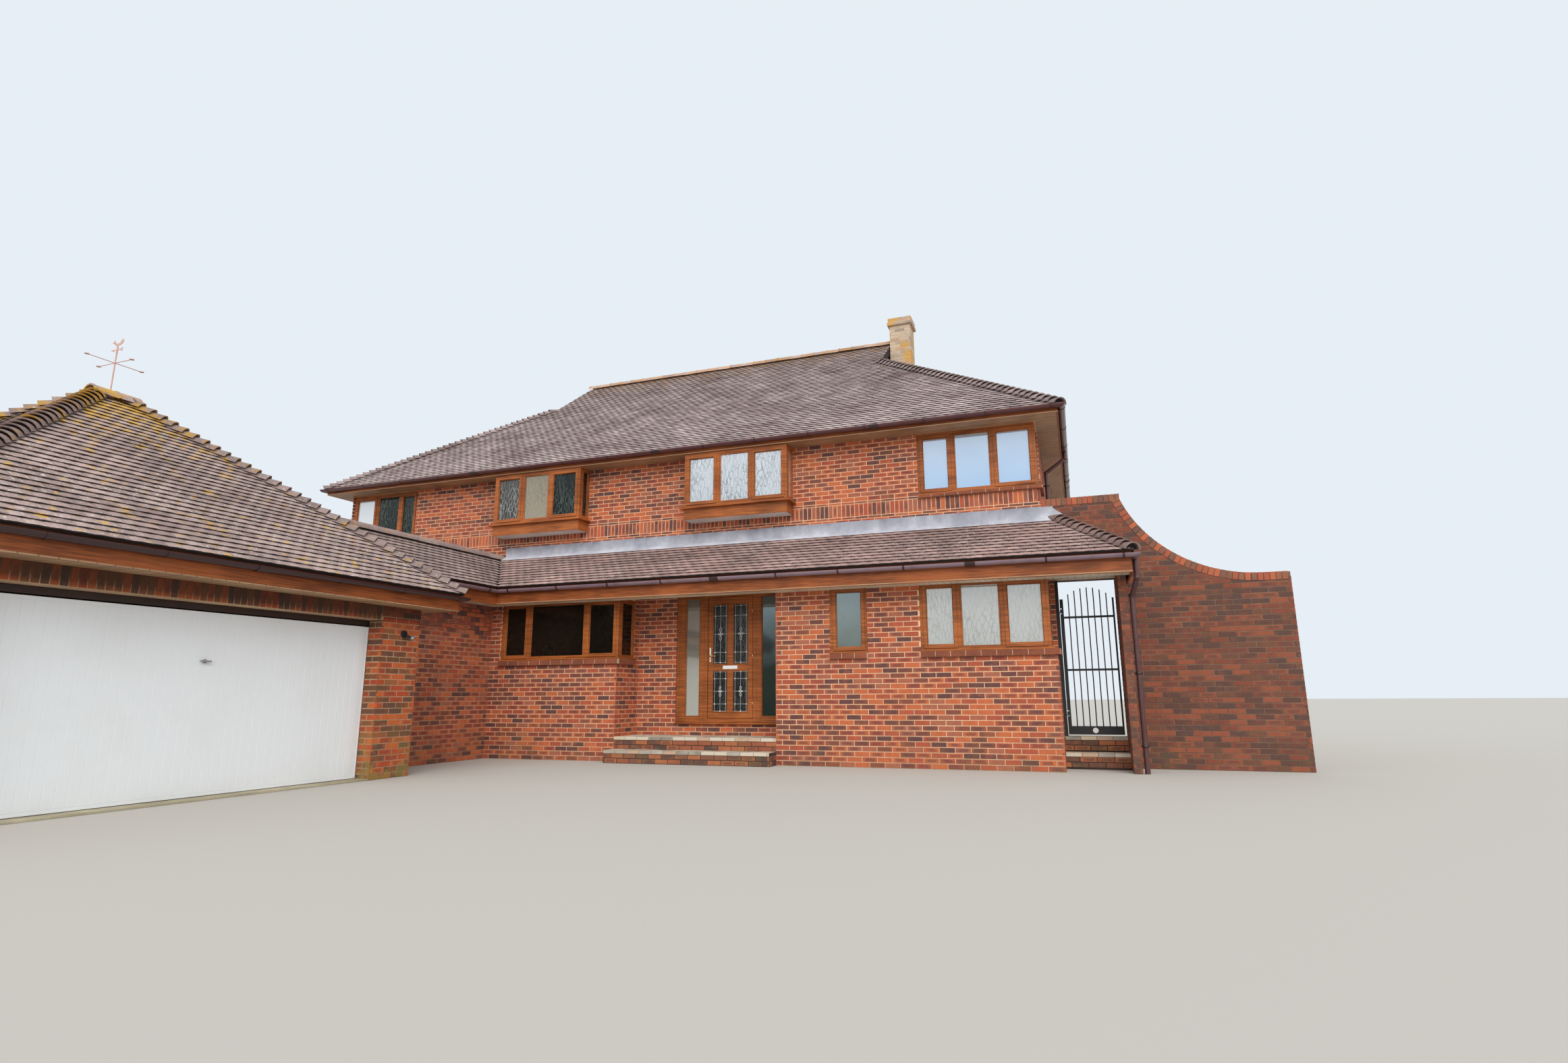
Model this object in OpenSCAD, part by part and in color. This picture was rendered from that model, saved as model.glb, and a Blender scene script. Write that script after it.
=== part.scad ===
// Detached two-storey brick house with a lean-to front, a link, a double garage and a gated side passage.
// Millimetres, +Z up, the front of the house faces -Y. Z = 0 is the lowest ground that the walls meet.
// The origin is on the underside of the front wall, in line with the middle of the main block.

/* [Main block] */
// Width of the two-storey block over its brickwork
block_w = 13978; // [13000:1:15000]
// Depth of the two-storey block over its brickwork
block_d = 8775; // [8000:1:9500]
// Thickness of the cavity walls
wall_t = 300; // [275:1:330]
// Setback of the upper front wall behind the lower front walls
upper_setback = 867; // [800:1:1000]
// Height of the entrance level above the lowest ground
entrance_z = 374; // [300:1:450]
// Height of one brick course with its joint
course = 75; // [72:1:78]

/* [Lower front] */
// Width of the right-hand bay
right_bay_w = 4152; // [4000:1:4300]
// Width of the porch recess between the bays
porch_w = 2828; // [2700:1:2900]
// Depth of the porch recess
porch_depth = 715; // [600:1:760]
// Width of the kitchen bay up to the link
kitchen_w = 2580; // [2500:1:2700]
// How far the lower right corner stands past the side wall above
corner_step = 112; // [90:1:130]
// Brick courses under the lower window sills
sill_courses = 16; // [15:1:17]

/* [Levels] */
// Top of the ground floor
ground_floor_z = 660; // [620:1:670]
// Top of the first floor
first_floor_z = 3274; // [3200:1:3300]
// Head of the lower windows
lower_head_z = 2674; // [2600:1:2700]
// Underside of the soffit under the main eaves
soffit_z = 5244; // [5200:1:5300]
// Top of the brick sill course of the upper windows
upper_sill_z = 4159; // [4100:1:4200]

/* [Roofs] */
// Rise of the main roof for each unit of run
main_rise = 0.74; // [0.7:0.01:0.8]
// Roof surface at the main tile edge
main_edge_z = 5344; // [5300:1:5380]
// Plan distance from the end eaves to the gablet
gablet_run = 3585; // [3400:1:3700]
// How far the left verge oversails its gablet
left_verge = 300; // [100:1:320]
// How far the right verge oversails its gablet
right_verge = 50; // [20:1:60]
// Rise of the lean-to for each unit of run
leanto_rise = 0.604; // [0.58:0.001:0.63]
// Roof surface at the lean-to and link tile edges
low_edge_z = 2909; // [2890:1:2930]
// Rise of the lean-to's hipped end for each unit of run
hip_end_rise = 0.773; // [0.75:0.001:0.8]
// Rise of the link roof for each unit of run
link_rise = 0.749; // [0.73:0.001:0.77]
// Rise of the garage roof for each unit of run
garage_rise = 0.767; // [0.74:0.001:0.79]
// Roof surface at the garage tile edge
garage_edge_z = 2484; // [2460:1:2500]
// Thickness of rafters, battens and tiles, square to the slope
roof_t = 150; // [130:1:170]

/* [Eaves] */
// Tile edge beyond the wall face
tile_over = 395; // [380:1:410]
// Fascia face beyond the wall face
fascia_over = 350; // [330:1:360]
// Thickness of the fascia boards
fascia_t = 25; // [18:1:30]
// Thickness of the soffit boards
soffit_t = 12; // [9:1:20]
// Outside radius of the half-round gutters
gutter_r = 55; // [50:1:60]
// Wall of the gutters
gutter_t = 4; // [3:1:6]
// Outside radius of the downpipes
pipe_r = 34; // [30:1:40]

/* [Chimney] */
// Width of the stack along the ridge
stack_w = 459; // [440:1:480]
// Depth of the stack
stack_d = 450; // [430:1:470]
// Left face of the stack from the middle of the block
stack_x = 3870; // [3860:1:3900]
// Top of the shaft
stack_top_z = 9239; // [9200:1:9400]
// Height of the oversailing cap
cap_h = 172; // [150:1:200]
// Side of the square flue
flue_w = 225; // [200:1:240]

/* [Garage and link] */
// Front face of the garage from the middle of the block
garage_x = -1299; // [-1320:1:-1280]
// Width of the garage from front to back
garage_w = 5110; // [5000:1:5200]
// Length of the garage along its door
garage_l = 5490; // [5400:1:5600]
// Clear distance from the garage to the lower front wall
garage_gap = 2905; // [2850:1:2950]
// Thickness of the garage walls
garage_wall_t = 215; // [210:1:220]
// Pier beside the garage door, next to the link
right_pier = 665; // [650:1:680]
// Opening in the garage wall
garage_opening = 4283; // [4270:1:4300]
// Underside of the garage lintel
garage_head_z = 2048; // [2030:1:2060]
// Width of the link over its brickwork
link_w = 1180; // [1150:1:1200]
// Thickness of the link walls
link_wall_t = 110; // [102:1:120]

/* [Garage door] */
// Recess of the door leaf behind the brick face
leaf_recess = 212; // [208:1:214]
// Thickness of the garage door leaf
leaf_t = 40; // [35:1:45]
// Height of the arm pivots
arm_pivot_z = 1830; // [1820:1:1836]
// Length of the lifting arms
arm_l = 590; // [580:1:595]
// Width of the timber frame round the door
garage_frame_w = 105; // [100:1:110]

/* [Passage] */
// Clear width of the side passage
passage_w = 848; // [820:1:880]
// Width of the passage pier
pier_w = 102; // [100:1:110]
// Thickness of the screen wall
screen_t = 215; // [210:1:220]
// Top of the screen wall
screen_top_z = 3964; // [3900:1:4000]
// Head of the gateway
gateway_head_z = 2704; // [2700:1:2750]
// Radius of the swept ramp in the screen wall
ramp_r = 1870; // [1800:1:1900]
// Length of the screen wall past the passage
screen_run = 2252; // [2200:1:2400]

/* [Front door] */
// Width of the door leaf
door_w = 814; // [800:1:820]
// Bottom of the door leaf
door_z = 673; // [665:1:680]
// Top of the door leaf
door_top_z = 2689; // [2680:1:2700]
// Thickness of the door leaf
door_t = 54; // [50:1:60]
// Width of the door screen with its sidelights
screen_w = 1994; // [1980:1:2010]
// Glass in each sidelight
sidelight_w = 276; // [260:1:290]

/* [Hidden] */
$fn = 48;

// Hairline joint between solids of one piece
g = 1;

// Plan lines
half_w = block_w / 2;
front_y = -wall_t / 2;
main_y = front_y + upper_setback;
back_y = main_y + block_d;
ridge_y = main_y + block_d / 2;
porch_y = front_y + porch_depth;
inner_y = main_y + wall_t;
right_x = half_w + corner_step;
bay_x = right_x - right_bay_w;
kitchen_x = bay_x - porch_w;
link_x = kitchen_x - kitchen_w;
link_ridge_x = link_x - link_w / 2;
pier_x = right_x + passage_w;
garage_y = front_y - garage_gap;
garage_cx = garage_x - garage_w / 2;
garage_cy = garage_y - garage_l / 2;

// Levels
sill_z = entrance_z + sill_courses * course;
frame_z = sill_z + 75;
floor_t = 250;
upper_wall_z = first_floor_z - floor_t;
wall_top_z = soffit_z + 276;
low_wall_top_z = upper_wall_z;
upper_frame_z = upper_sill_z + 45;

// Vertical thickness of a roof with a given rise
function drop(rise) = roof_t * sqrt(1 + rise * rise);

// Section of a roof slope: u runs inwards from the tile edge, the second value is the height.
// The tail is thin over the fascia, the underside is level above the soffit, and a seat is cut over the wall.
tile_edge = 15;
function slope_section(run, rise, edge_z, over, tail, seat_z, under_z = 0) =
    let (t = drop(rise), tail_z = edge_z + rise * tail - t, seat_u = (seat_z + t - edge_z) / rise)
    [
        [0, edge_z], [0, edge_z - tile_edge], [tail, edge_z + rise * tail - tile_edge],
        each under_z > tail_z ? [[tail, under_z], [(under_z + t - edge_z) / rise, under_z]] : [[tail, tail_z]],
        [over, edge_z + rise * over - t], [over, seat_z], [seat_u, seat_z],
        [run, edge_z + rise * run - t], [run, edge_z + rise * run]
    ];

// Plan of a strip along an eave between two distances from the wall face.
// The ends are mitred: +1 at an outer corner, -1 at an inner corner, 0 for a square end.
function strip_plan(x0, x1, s0, s1, d0, d1) = [
    [x0 - s0 * d1 + g / 2, -d1], [x1 + s1 * d1 - g / 2, -d1],
    [x1 + s1 * d0 - g / 2, -d0], [x0 - s0 * d0 + g / 2, -d0]
];

module box(x0, x1, y0, y1, z0, z1) translate([x0, y0, z0]) cube([x1 - x0, y1 - y0, z1 - z0]);

// A slope whose tile edge lies along X at y = 0 and which rises towards +Y
module slope(section, length)
    rotate([90, 0, 90]) translate([0, 0, -length / 2]) linear_extrude(length) polygon(section);

module over_plan(points, height = 12000)
    intersection() { linear_extrude(height) polygon(points); children(); }

// Repeats a child at the front, right, back and left of a rectangle; $side_l is the side's length
module round_block(cx, cy, w, d, sides = [0, 1, 2, 3])
    translate([cx, cy, 0]) for (i = sides)
        let ($side_l = i % 2 == 0 ? w : d, $side_i = i)
        rotate([0, 0, 90 * i]) translate([0, -(i % 2 == 0 ? d : w) / 2, 0]) children();

// A mitred board along an eave
module eave_board(x0, x1, s0, s1, d0, d1, z0, z1)
    translate([0, 0, z0]) linear_extrude(z1 - z0) polygon(strip_plan(x0, x1, s0, s1, d0, d1));

// A half-round gutter along an eave
module eave_gutter(x0, x1, s0, s1, top_z) {
    middle = fascia_over + gutter_r;
    over_plan(strip_plan(x0, x1, s0, s1, fascia_over, fascia_over + 2 * gutter_r))
    translate([0, -middle, top_z]) rotate([90, 0, 90])
    translate([0, 0, x0 - 600]) linear_extrude(x1 - x0 + 1200) intersection() {
        difference() { circle(gutter_r); circle(gutter_r - gutter_t); }
        translate([-gutter_r, -gutter_r]) square([2 * gutter_r, gutter_r]);
    }
}

// A pipe along a list of points, with a collar at each bend
module pipe(points, r) {
    for (i = [0 : len(points) - 2]) let (a = points[i], v = points[i + 1] - a, l = norm(v))
        translate(a) rotate([0, acos(v[2] / l), atan2(v[1], v[0])]) cylinder(r = r, h = l);
    for (i = [1 : 1 : len(points) - 2]) translate(points[i]) sphere(r = r + 5);
}

// A glazing frame in the XZ plane, with mullions at the given centres
module frame_x(x0, x1, y0, y1, z0, z1, mullions = [], edge = 55, bar = 64) {
    cuts = [x0 + edge, for (m = mullions) each [m - bar / 2, m + bar / 2], x1 - edge];
    difference() {
        box(x0, x1, y0, y1, z0, z1);
        for (i = [0 : 2 : len(cuts) - 2]) box(cuts[i], cuts[i + 1], y0 - 1, y1 + 1, z0 + edge, z1 - edge);
    }
}

// The panes of that frame
module panes_x(x0, x1, y0, y1, z0, z1, mullions = [], edge = 55, bar = 64) {
    cuts = [x0 + edge, for (m = mullions) each [m - bar / 2, m + bar / 2], x1 - edge];
    for (i = [0 : 2 : len(cuts) - 2]) box(cuts[i], cuts[i + 1], y0, y1, z0 + edge, z1 - edge);
}

// Turns a frame of the XZ plane so that its length runs along Y and its outer face looks along +X
module on_right(x) translate([x, 0, 0]) rotate([0, 0, 90]) children();
module on_left(x) translate([x, 0, 0]) rotate([0, 0, -90]) children();

// Lower windows
lower_glass_y = 45;
frame_back = 25;
frame_t = 70;
corner_window = [bay_x + 2261, right_x - 70];
corner_mullions = [right_x - 1334, right_x - 706];
small_window = [bay_x + 877, bay_x + 1464];
kitchen_window = [kitchen_x - 2370, kitchen_x];
kitchen_mullions = [kitchen_x - 1798, kitchen_x - 643];
corner_light_y = [front_y + 100, front_y + 600];
kitchen_light_y = [front_y + 100, front_y + 560];

// Upper windows
upper_right = [half_w - 1883, half_w - 18];
upper_right_mullions = [half_w - 1318, half_w - 683];
upper_left = [-half_w + 24, -half_w + 1736];
upper_left_mullions = [-half_w + 657, -half_w + 1273];
upper_light_l = 600;
oriel_w = 1915;
oriel_x = [-2081.5, 1993.5];
oriel_out = 317;
oriel_base_z = 4267;
apron_z = 4054;
oriel_mullions = [640, 1258];

// Windows of the unseen sides: middle, width
rear_lower = [[-5000, 1800], [5000, 1800]];
rear_doors = [0, 2400];
rear_upper = [[-5000, 1800], [-1700, 1200], [1700, 1200], [5000, 1800]];
side_lower = [[5600, 1200]];
side_upper = [[4700, 1200], [7600, 1200]];
rear_door_head_z = 2759;

module front_right_wall() color("firebrick") difference() {
    box(bay_x, right_x, front_y, front_y + wall_t, 0, low_wall_top_z);
    box(corner_window[0], right_x + 1, front_y - 1, front_y + wall_t + 1, sill_z, lower_head_z);
    box(small_window[0], small_window[1], front_y - 1, front_y + wall_t + 1, sill_z, lower_head_z);
}

module front_left_walls() color("firebrick") {
    difference() {
        box(link_x, kitchen_x, front_y, front_y + wall_t, 0, low_wall_top_z);
        box(kitchen_window[0], kitchen_x + 1, front_y - 1, front_y + wall_t + 1, sill_z, lower_head_z);
        // The corner under the valley is cut down
        box(link_x - 1, link_x + 90, front_y - 1, front_y + wall_t + 1, 2955, low_wall_top_z + 1);
    }
    box(-half_w, link_x - link_w + link_wall_t, main_y, inner_y, 0, low_wall_top_z);
}

module front_return_walls() color("firebrick") {
    difference() {
        box(kitchen_x - wall_t, kitchen_x, front_y + wall_t, porch_y, 0, low_wall_top_z);
        box(kitchen_x - wall_t - 1, kitchen_x + 1, front_y, kitchen_light_y[1], sill_z, lower_head_z);
    }
    box(bay_x, bay_x + wall_t, front_y + wall_t, porch_y, 0, low_wall_top_z);
    difference() {
        box(right_x - wall_t, right_x, front_y + wall_t, main_y, 0, low_wall_top_z);
        box(right_x - wall_t - 1, right_x + 1, front_y, corner_light_y[1], sill_z, lower_head_z);
    }
}

// Door screen in the porch wall
screen_x = kitchen_x + 740;
screen_sill_z = 573;
screen_head_z = 2759;
porch_ceiling_z = 2774;
leaf_x = screen_x + (screen_w - door_w) / 2;

module porch_wall() color("firebrick") {
    box(kitchen_x - wall_t, screen_x - g, porch_y, porch_y + wall_t, 0, screen_head_z);
    box(screen_x + screen_w + g, bay_x + wall_t, porch_y, porch_y + wall_t, 0, screen_head_z);
    box(screen_x, screen_x + screen_w, porch_y, porch_y + wall_t, 0, screen_sill_z);
    box(kitchen_x - wall_t, bay_x + wall_t, porch_y, porch_y + wall_t, screen_head_z + g, low_wall_top_z);
    box(kitchen_x + g, bay_x - g, front_y, front_y + wall_t, porch_ceiling_z + soffit_t + g, low_wall_top_z);
}

// Upper front wall: bands under and over the windows, and the piers between them
module upper_front_wall() color("firebrick") {
    mouth = oriel_w / 2 - 100;
    box(-half_w, half_w, main_y, inner_y, upper_wall_z, upper_sill_z);
    box(upper_left[1], upper_right[0], main_y, inner_y, upper_sill_z + g, oriel_base_z);
    for (x = [[upper_left[1], oriel_x[0] - mouth], [oriel_x[0] + mouth, oriel_x[1] - mouth],
              [oriel_x[1] + mouth, upper_right[0]]])
        box(x[0], x[1], main_y, inner_y, oriel_base_z + g, soffit_z);
    box(-half_w, half_w, main_y, inner_y, soffit_z + g, wall_top_z);
}

// Openings of a side wall, drawn from -X to +X
module side_openings(x0, x1) {
    box(x0, x1, inner_y - 1, inner_y + upper_light_l - wall_t, upper_sill_z, soffit_z);
    for (w = side_upper) box(x0, x1, w[0] - w[1] / 2, w[0] + w[1] / 2, upper_sill_z, soffit_z);
    for (w = side_lower) box(x0, x1, w[0] - w[1] / 2, w[0] + w[1] / 2, sill_z, lower_head_z);
}

module right_wall() color("firebrick") difference() {
    union() {
        box(half_w - wall_t, half_w, inner_y, back_y - wall_t, 0, wall_top_z);
        box(half_w - wall_t, half_w, main_y, inner_y, 0, upper_wall_z);
    }
    side_openings(half_w - wall_t - 1, half_w + 1);
}

module left_wall() color("firebrick") difference() {
    box(-half_w, -half_w + wall_t, inner_y, back_y - wall_t, 0, wall_top_z);
    side_openings(-half_w - 1, -half_w + wall_t + 1);
}

module back_wall() color("firebrick") difference() {
    box(-half_w, half_w, back_y - wall_t, back_y, 0, wall_top_z);
    for (w = rear_lower)
        box(w[0] - w[1] / 2, w[0] + w[1] / 2, back_y - wall_t - 1, back_y + 1, sill_z, lower_head_z);
    for (w = rear_upper)
        box(w[0] - w[1] / 2, w[0] + w[1] / 2, back_y - wall_t - 1, back_y + 1, upper_sill_z, soffit_z);
    box(rear_doors[0] - rear_doors[1] / 2, rear_doors[0] + rear_doors[1] / 2,
        back_y - wall_t - 1, back_y + 1, ground_floor_z, rear_door_head_z);
}

// The wall beside and over the gateway, with its swept ramp
ramp_x = pier_x + 1908;
ramp_z = screen_top_z + 584;
module screen_wall() color("firebrick") {
    difference() {
        box(pier_x, pier_x + screen_run, main_y, main_y + screen_t, 0, screen_top_z);
        translate([ramp_x, main_y - 1, ramp_z]) rotate([-90, 0, 0]) cylinder(r = ramp_r, h = screen_t + 2, $fn = 180);
        box(ramp_x, pier_x + screen_run + 1, main_y - 1, main_y + screen_t + 1, ramp_z - ramp_r, screen_top_z + 1);
    }
    box(half_w, pier_x - g, main_y, main_y + screen_t, gateway_head_z, screen_top_z);
}

pier_top_z = 2834;
module gate_pier() color("firebrick")
    box(pier_x, pier_x + pier_w, front_y, main_y, 0, pier_top_z);

// Garage walls: rear, far side, back, the two piers of the door and the lintel over it
garage_wall_top_z = 2634;
opening_y1 = garage_y - right_pier;
opening_y0 = opening_y1 - garage_opening;
module garage_walls() color("firebrick") {
    x0 = garage_x - garage_w;
    y0 = garage_y - garage_l;
    t = garage_wall_t;
    box(x0, garage_x, garage_y - t, garage_y, 0, garage_wall_top_z);
    box(x0, garage_x, y0, y0 + t, 0, garage_wall_top_z);
    box(x0, x0 + t, y0 + t + g, garage_y - t - g, 0, garage_wall_top_z);
    box(garage_x - t, garage_x, opening_y1, garage_y - t - g, 0, garage_head_z);
    box(garage_x - t, garage_x, y0 + t + g, opening_y0, 0, garage_head_z);
    box(garage_x - t, garage_x, y0 + t + g, garage_y - t - g, garage_head_z + g, garage_wall_top_z);
}

link_top_z = 3060;
module link_walls() color("firebrick") for (w = [[link_x - link_wall_t, front_y + wall_t], [link_x - link_w, main_y]]) {
    difference() {
        box(w[0], w[0] + link_wall_t, garage_y, w[1], 0, link_top_z);
        box(link_x - link_w / 2, link_x + 1, front_y, main_y, low_wall_top_z, link_top_z + 1);
    }
    // The wedge that closes the end over the garage roof
    difference() {
        box(w[0], w[0] + link_wall_t, garage_y - 800, garage_y - g, garage_wall_top_z, link_top_z);
        under_garage_slope();
    }
}

// Space round the stack where it passes floors and roof
module stack_hole(z0, z1)
    box(stack_x, stack_x + stack_w, ridge_y - stack_d / 2, ridge_y + stack_d / 2, z0, z1);

module ground_floor() color("gray") {
    z0 = ground_floor_z - 200;
    difference() {
        box(-half_w + wall_t, half_w - wall_t, inner_y, back_y - wall_t, z0, ground_floor_z);
        stack_hole(z0 - 1, ground_floor_z + 1);
    }
    box(link_x, kitchen_x - wall_t, front_y + wall_t, inner_y - g, z0, ground_floor_z);
    box(kitchen_x - wall_t + g, bay_x + wall_t, porch_y + wall_t, inner_y - g, z0, ground_floor_z);
    box(bay_x + wall_t + g, half_w - wall_t, front_y + wall_t, inner_y - g, z0, ground_floor_z);
}

module first_floor() color("gray") difference() {
    box(-half_w + wall_t, half_w - wall_t, inner_y, back_y - wall_t, upper_wall_z, first_floor_z);
    stack_hole(upper_wall_z - 1, first_floor_z + 1);
}

// Landing of the porch and the tread before it
landing_z = 390;
tread_l = 300;
module porch_steps() color("sienna") {
    box(kitchen_x, bay_x, front_y, porch_y, 0, landing_z);
    box(kitchen_x, bay_x, front_y - tread_l, front_y - g, 0, landing_z / 2);
}

// Threshold under the gate and the tread before it
gate_floor_z = 428;
module gate_steps() color("sienna") {
    box(half_w, pier_x, main_y, main_y + screen_t, 0, gate_floor_z);
    box(right_x, pier_x, main_y - tread_l, main_y - g, 0, gate_floor_z / 2);
}

// The floor inside the garage, with its strip under the door
module garage_floor() color("lightgray") {
    t = garage_wall_t;
    box(garage_x - garage_w + t, garage_x - t, garage_y - garage_l + t, garage_y - t, 0, 19);
    box(garage_x - t + g, garage_x, opening_y0, opening_y1, 0, 19);
}

// Main roof: hipped slopes, cut at the gablets, and the two gablet walls
main_run = block_d / 2 + tile_over;
edge_x = half_w + tile_over;
gablet_x = edge_x - gablet_run;
tail_u = tile_over - fascia_over + fascia_t;
under_main_z = soffit_z + soffit_t + g;
main_section = slope_section(main_run - g / 2, main_rise, main_edge_z, tile_over, tail_u, wall_top_z, under_main_z);

module long_slope(left_end, right_end) {
    y0 = main_y - tile_over;
    over_plan([
        [-edge_x + 2 * g, y0], [edge_x - 2 * g, y0], [right_end, y0 + edge_x - 2 * g - right_end],
        [right_end, ridge_y], [-left_end, ridge_y], [-left_end, y0 + edge_x - 2 * g - left_end]
    ]) translate([0, y0, 0]) slope(main_section, block_w + 2 * tile_over);
}

// The hipped end, drawn on the right, with the verge this far past the gablet
module end_slope(verge) {
    y0 = main_y - tile_over;
    y1 = back_y + tile_over;
    clear = drop(main_rise) / main_rise + 8;
    hip = edge_x - gablet_x;
    section = slope_section(gablet_run, main_rise, main_edge_z, tile_over, tail_u, wall_top_z, under_main_z);
    v = verge + g;
    over_plan([
        [edge_x, y0], [edge_x, y1], [gablet_x + v, y1 - hip + v],
        [gablet_x + v, y1 - hip + v - clear], [gablet_x, y1 - hip - clear],
        [gablet_x, y0 + hip + clear], [gablet_x + v, y0 + hip - v + clear],
        [gablet_x + v, y0 + hip - v]
    ]) translate([edge_x, ridge_y, 0]) rotate([0, 0, 90]) slope(section, block_d + 2 * tile_over);
}

module gablet() {
    low = main_edge_z + main_rise * gablet_run - drop(main_rise);
    high = main_edge_z + main_rise * main_run - drop(main_rise) - 2;
    translate([gablet_x - 100 - g, ridge_y, 0]) rotate([90, 0, 90]) linear_extrude(100)
        polygon([[-(high - low) / main_rise, low], [(high - low) / main_rise, low], [0, high]]);
}

module main_roof() color("dimgray") {
    long_slope(gablet_x + left_verge, gablet_x + right_verge);
    translate([0, 2 * ridge_y, 0]) mirror([0, 1, 0]) long_slope(gablet_x + left_verge, gablet_x + right_verge);
    difference() { end_slope(right_verge); stack_hole(5000, 9000); }
    mirror([1, 0, 0]) end_slope(left_verge);
    gablet();
    mirror([1, 0, 0]) gablet();
}

// Lean-to over the lower front, hipped at the passage
leanto_over = 400;
leanto_y = front_y - leanto_over;
hip_x = pier_x + pier_w + 100;
hip_run = 990;
leanto_tail = leanto_over - fascia_over + fascia_t;
module leanto_roof() color("dimgray") {
    valley_y = leanto_y + link_rise * link_run / leanto_rise;
    run = main_y - leanto_y;
    over_plan([
        [link_x + link_over + g, leanto_y], [hip_x - 2 * g, leanto_y], [hip_x - hip_run - 2 * g, main_y],
        [link_ridge_x + g, main_y], [link_ridge_x + g, valley_y]
    ]) translate([0, leanto_y, 0])
        slope(slope_section(run, leanto_rise, low_edge_z, leanto_over, leanto_tail, low_wall_top_z), 30000);
    over_plan([[hip_x, leanto_y], [hip_x, main_y], [hip_x - hip_run, main_y]])
        translate([hip_x, 0, 0]) rotate([0, 0, 90])
        slope(slope_section(hip_run, hip_end_rise, low_edge_z, 100, 60, pier_top_z), 30000);
}

// Everything under the plane of the garage's rear slope
garage_tile_y = garage_y + tile_over;
module under_garage_slope(lift = 1) {
    y0 = garage_tile_y - 3000;
    translate([-9000, 0, 0]) rotate([90, 0, 90]) linear_extrude(9000) polygon([
        [garage_tile_y, -10], [garage_tile_y, garage_edge_z + lift],
        [y0, garage_edge_z + 3000 * garage_rise + lift], [y0, -10]
    ]);
}

// Link roof: two slopes from the garage roof to the main wall
link_over = 405;
link_run = link_w / 2 + link_over;
module link_roof() color("dimgray") {
    section = slope_section(link_run - g, link_rise, low_edge_z, link_over, link_over - fascia_over + fascia_t,
        link_top_z);
    valley_y = leanto_y + link_rise * link_run / leanto_rise;
    y0 = garage_y - 1300;
    difference() {
        union() {
            over_plan([
                [link_x + link_over, y0], [link_x + link_over, leanto_y], [link_ridge_x, valley_y],
                [link_ridge_x, y0]
            ]) translate([link_x + link_over, 0, 0]) rotate([0, 0, 90]) slope(section, 30000);
            over_plan([
                [link_ridge_x, y0], [link_ridge_x, main_y], [link_ridge_x - link_run, main_y],
                [link_ridge_x - link_run, y0]
            ]) translate([link_ridge_x - link_run, 0, 0]) rotate([0, 0, -90]) slope(section, 30000);
        }
        under_garage_slope();
    }
}

// Garage roof: four hipped slopes round a short ridge, open over the link
garage_run = garage_w / 2 + tile_over;
module garage_roof() color("dimgray") {
    half_l = garage_l / 2 + tile_over;
    section = slope_section(garage_run - g / 2, garage_rise, garage_edge_z, tile_over, tail_u, garage_wall_top_z);
    for (i = [0 : 3]) let (long = i % 2 == 1, half = long ? half_l : garage_run, away = long ? garage_run : half_l)
        difference() {
            translate([garage_cx, garage_cy, 0]) rotate([0, 0, 90 * i])
                over_plan([
                    [-half + 2 * g, -away], [half - 2 * g, -away],
                    [max(half - garage_run, 0), -away + garage_run], [-max(half - garage_run, 0), -away + garage_run]
                ]) translate([0, -away, 0]) slope(section, 2 * half);
            box(link_x - link_w - g, link_x + g, garage_y, garage_y + 500, 0, 4000);
        }
}

module flue(z0, z1)
    box(stack_x + (stack_w - flue_w) / 2, stack_x + (stack_w + flue_w) / 2, ridge_y - flue_w / 2, ridge_y + flue_w / 2,
        z0, z1);

module chimney_stack() color("tan") difference() {
    stack_hole(0, stack_top_z);
    flue(stack_top_z - 1000, stack_top_z + 1);
}

module chimney_cap() color("tan") difference() {
    union() for (s = [[46, 0, 75], [29, 75, cap_h]])
        box(stack_x - s[0], stack_x + stack_w + s[0], ridge_y - stack_d / 2 - s[0], ridge_y + stack_d / 2 + s[0],
            stack_top_z + s[1], stack_top_z + s[2]);
    flue(stack_top_z - 1, stack_top_z + cap_h + 1);
}

// Lead over the top edge of the lean-to, and up the screen wall beside its hipped end
lead_t = 4;
lead_lift = 22;
module lead_flashing() color("silver") {
    low_y = main_y - 152;
    low = low_edge_z + leanto_rise * (low_y - leanto_y) + lead_lift;
    high = low_edge_z + leanto_rise * (main_y - leanto_y) + lead_lift;
    // It starts where the valley passes its lower edge
    start_x = link_x + link_over - leanto_rise * (low_y - leanto_y) / link_rise + 10;
    translate([start_x, 0, 0]) rotate([90, 0, 90])
        linear_extrude(hip_x - hip_run - start_x)
        polygon([
            [low_y, low], [main_y, high], [main_y, 3864], [main_y - lead_t, 3864],
            [main_y - lead_t, high + lead_t], [low_y, low + lead_t]
        ]);
    translate([0, main_y, 0]) rotate([90, 0, 0]) linear_extrude(lead_t)
        polygon([
            [hip_x - hip_run + g, high], [hip_x, low_edge_z + lead_lift],
            [hip_x, low_edge_z + lead_lift + 130], [hip_x - hip_run + g, high + 130]
        ]);
}

// Eaves. The passage end of the lean-to is set out from this line, as if it were a wall face
passage_face_x = hip_x - 26 - fascia_over;
// The link's eaves run on to where the garage roof cuts them
link_end_y = garage_y - 400;
main_fascia_top_z = 5360;
low_fascia_z = 2614;
low_fascia_top_z = 2912;
garage_soffit_z = 2239;
garage_fascia_top_z = 2498;

// Boards of one kind round the garage, which stop at the link
module garage_eaves() {
    round_block(garage_cx, garage_cy, garage_w, garage_l, [0, 1, 3]) children();
}

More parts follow.
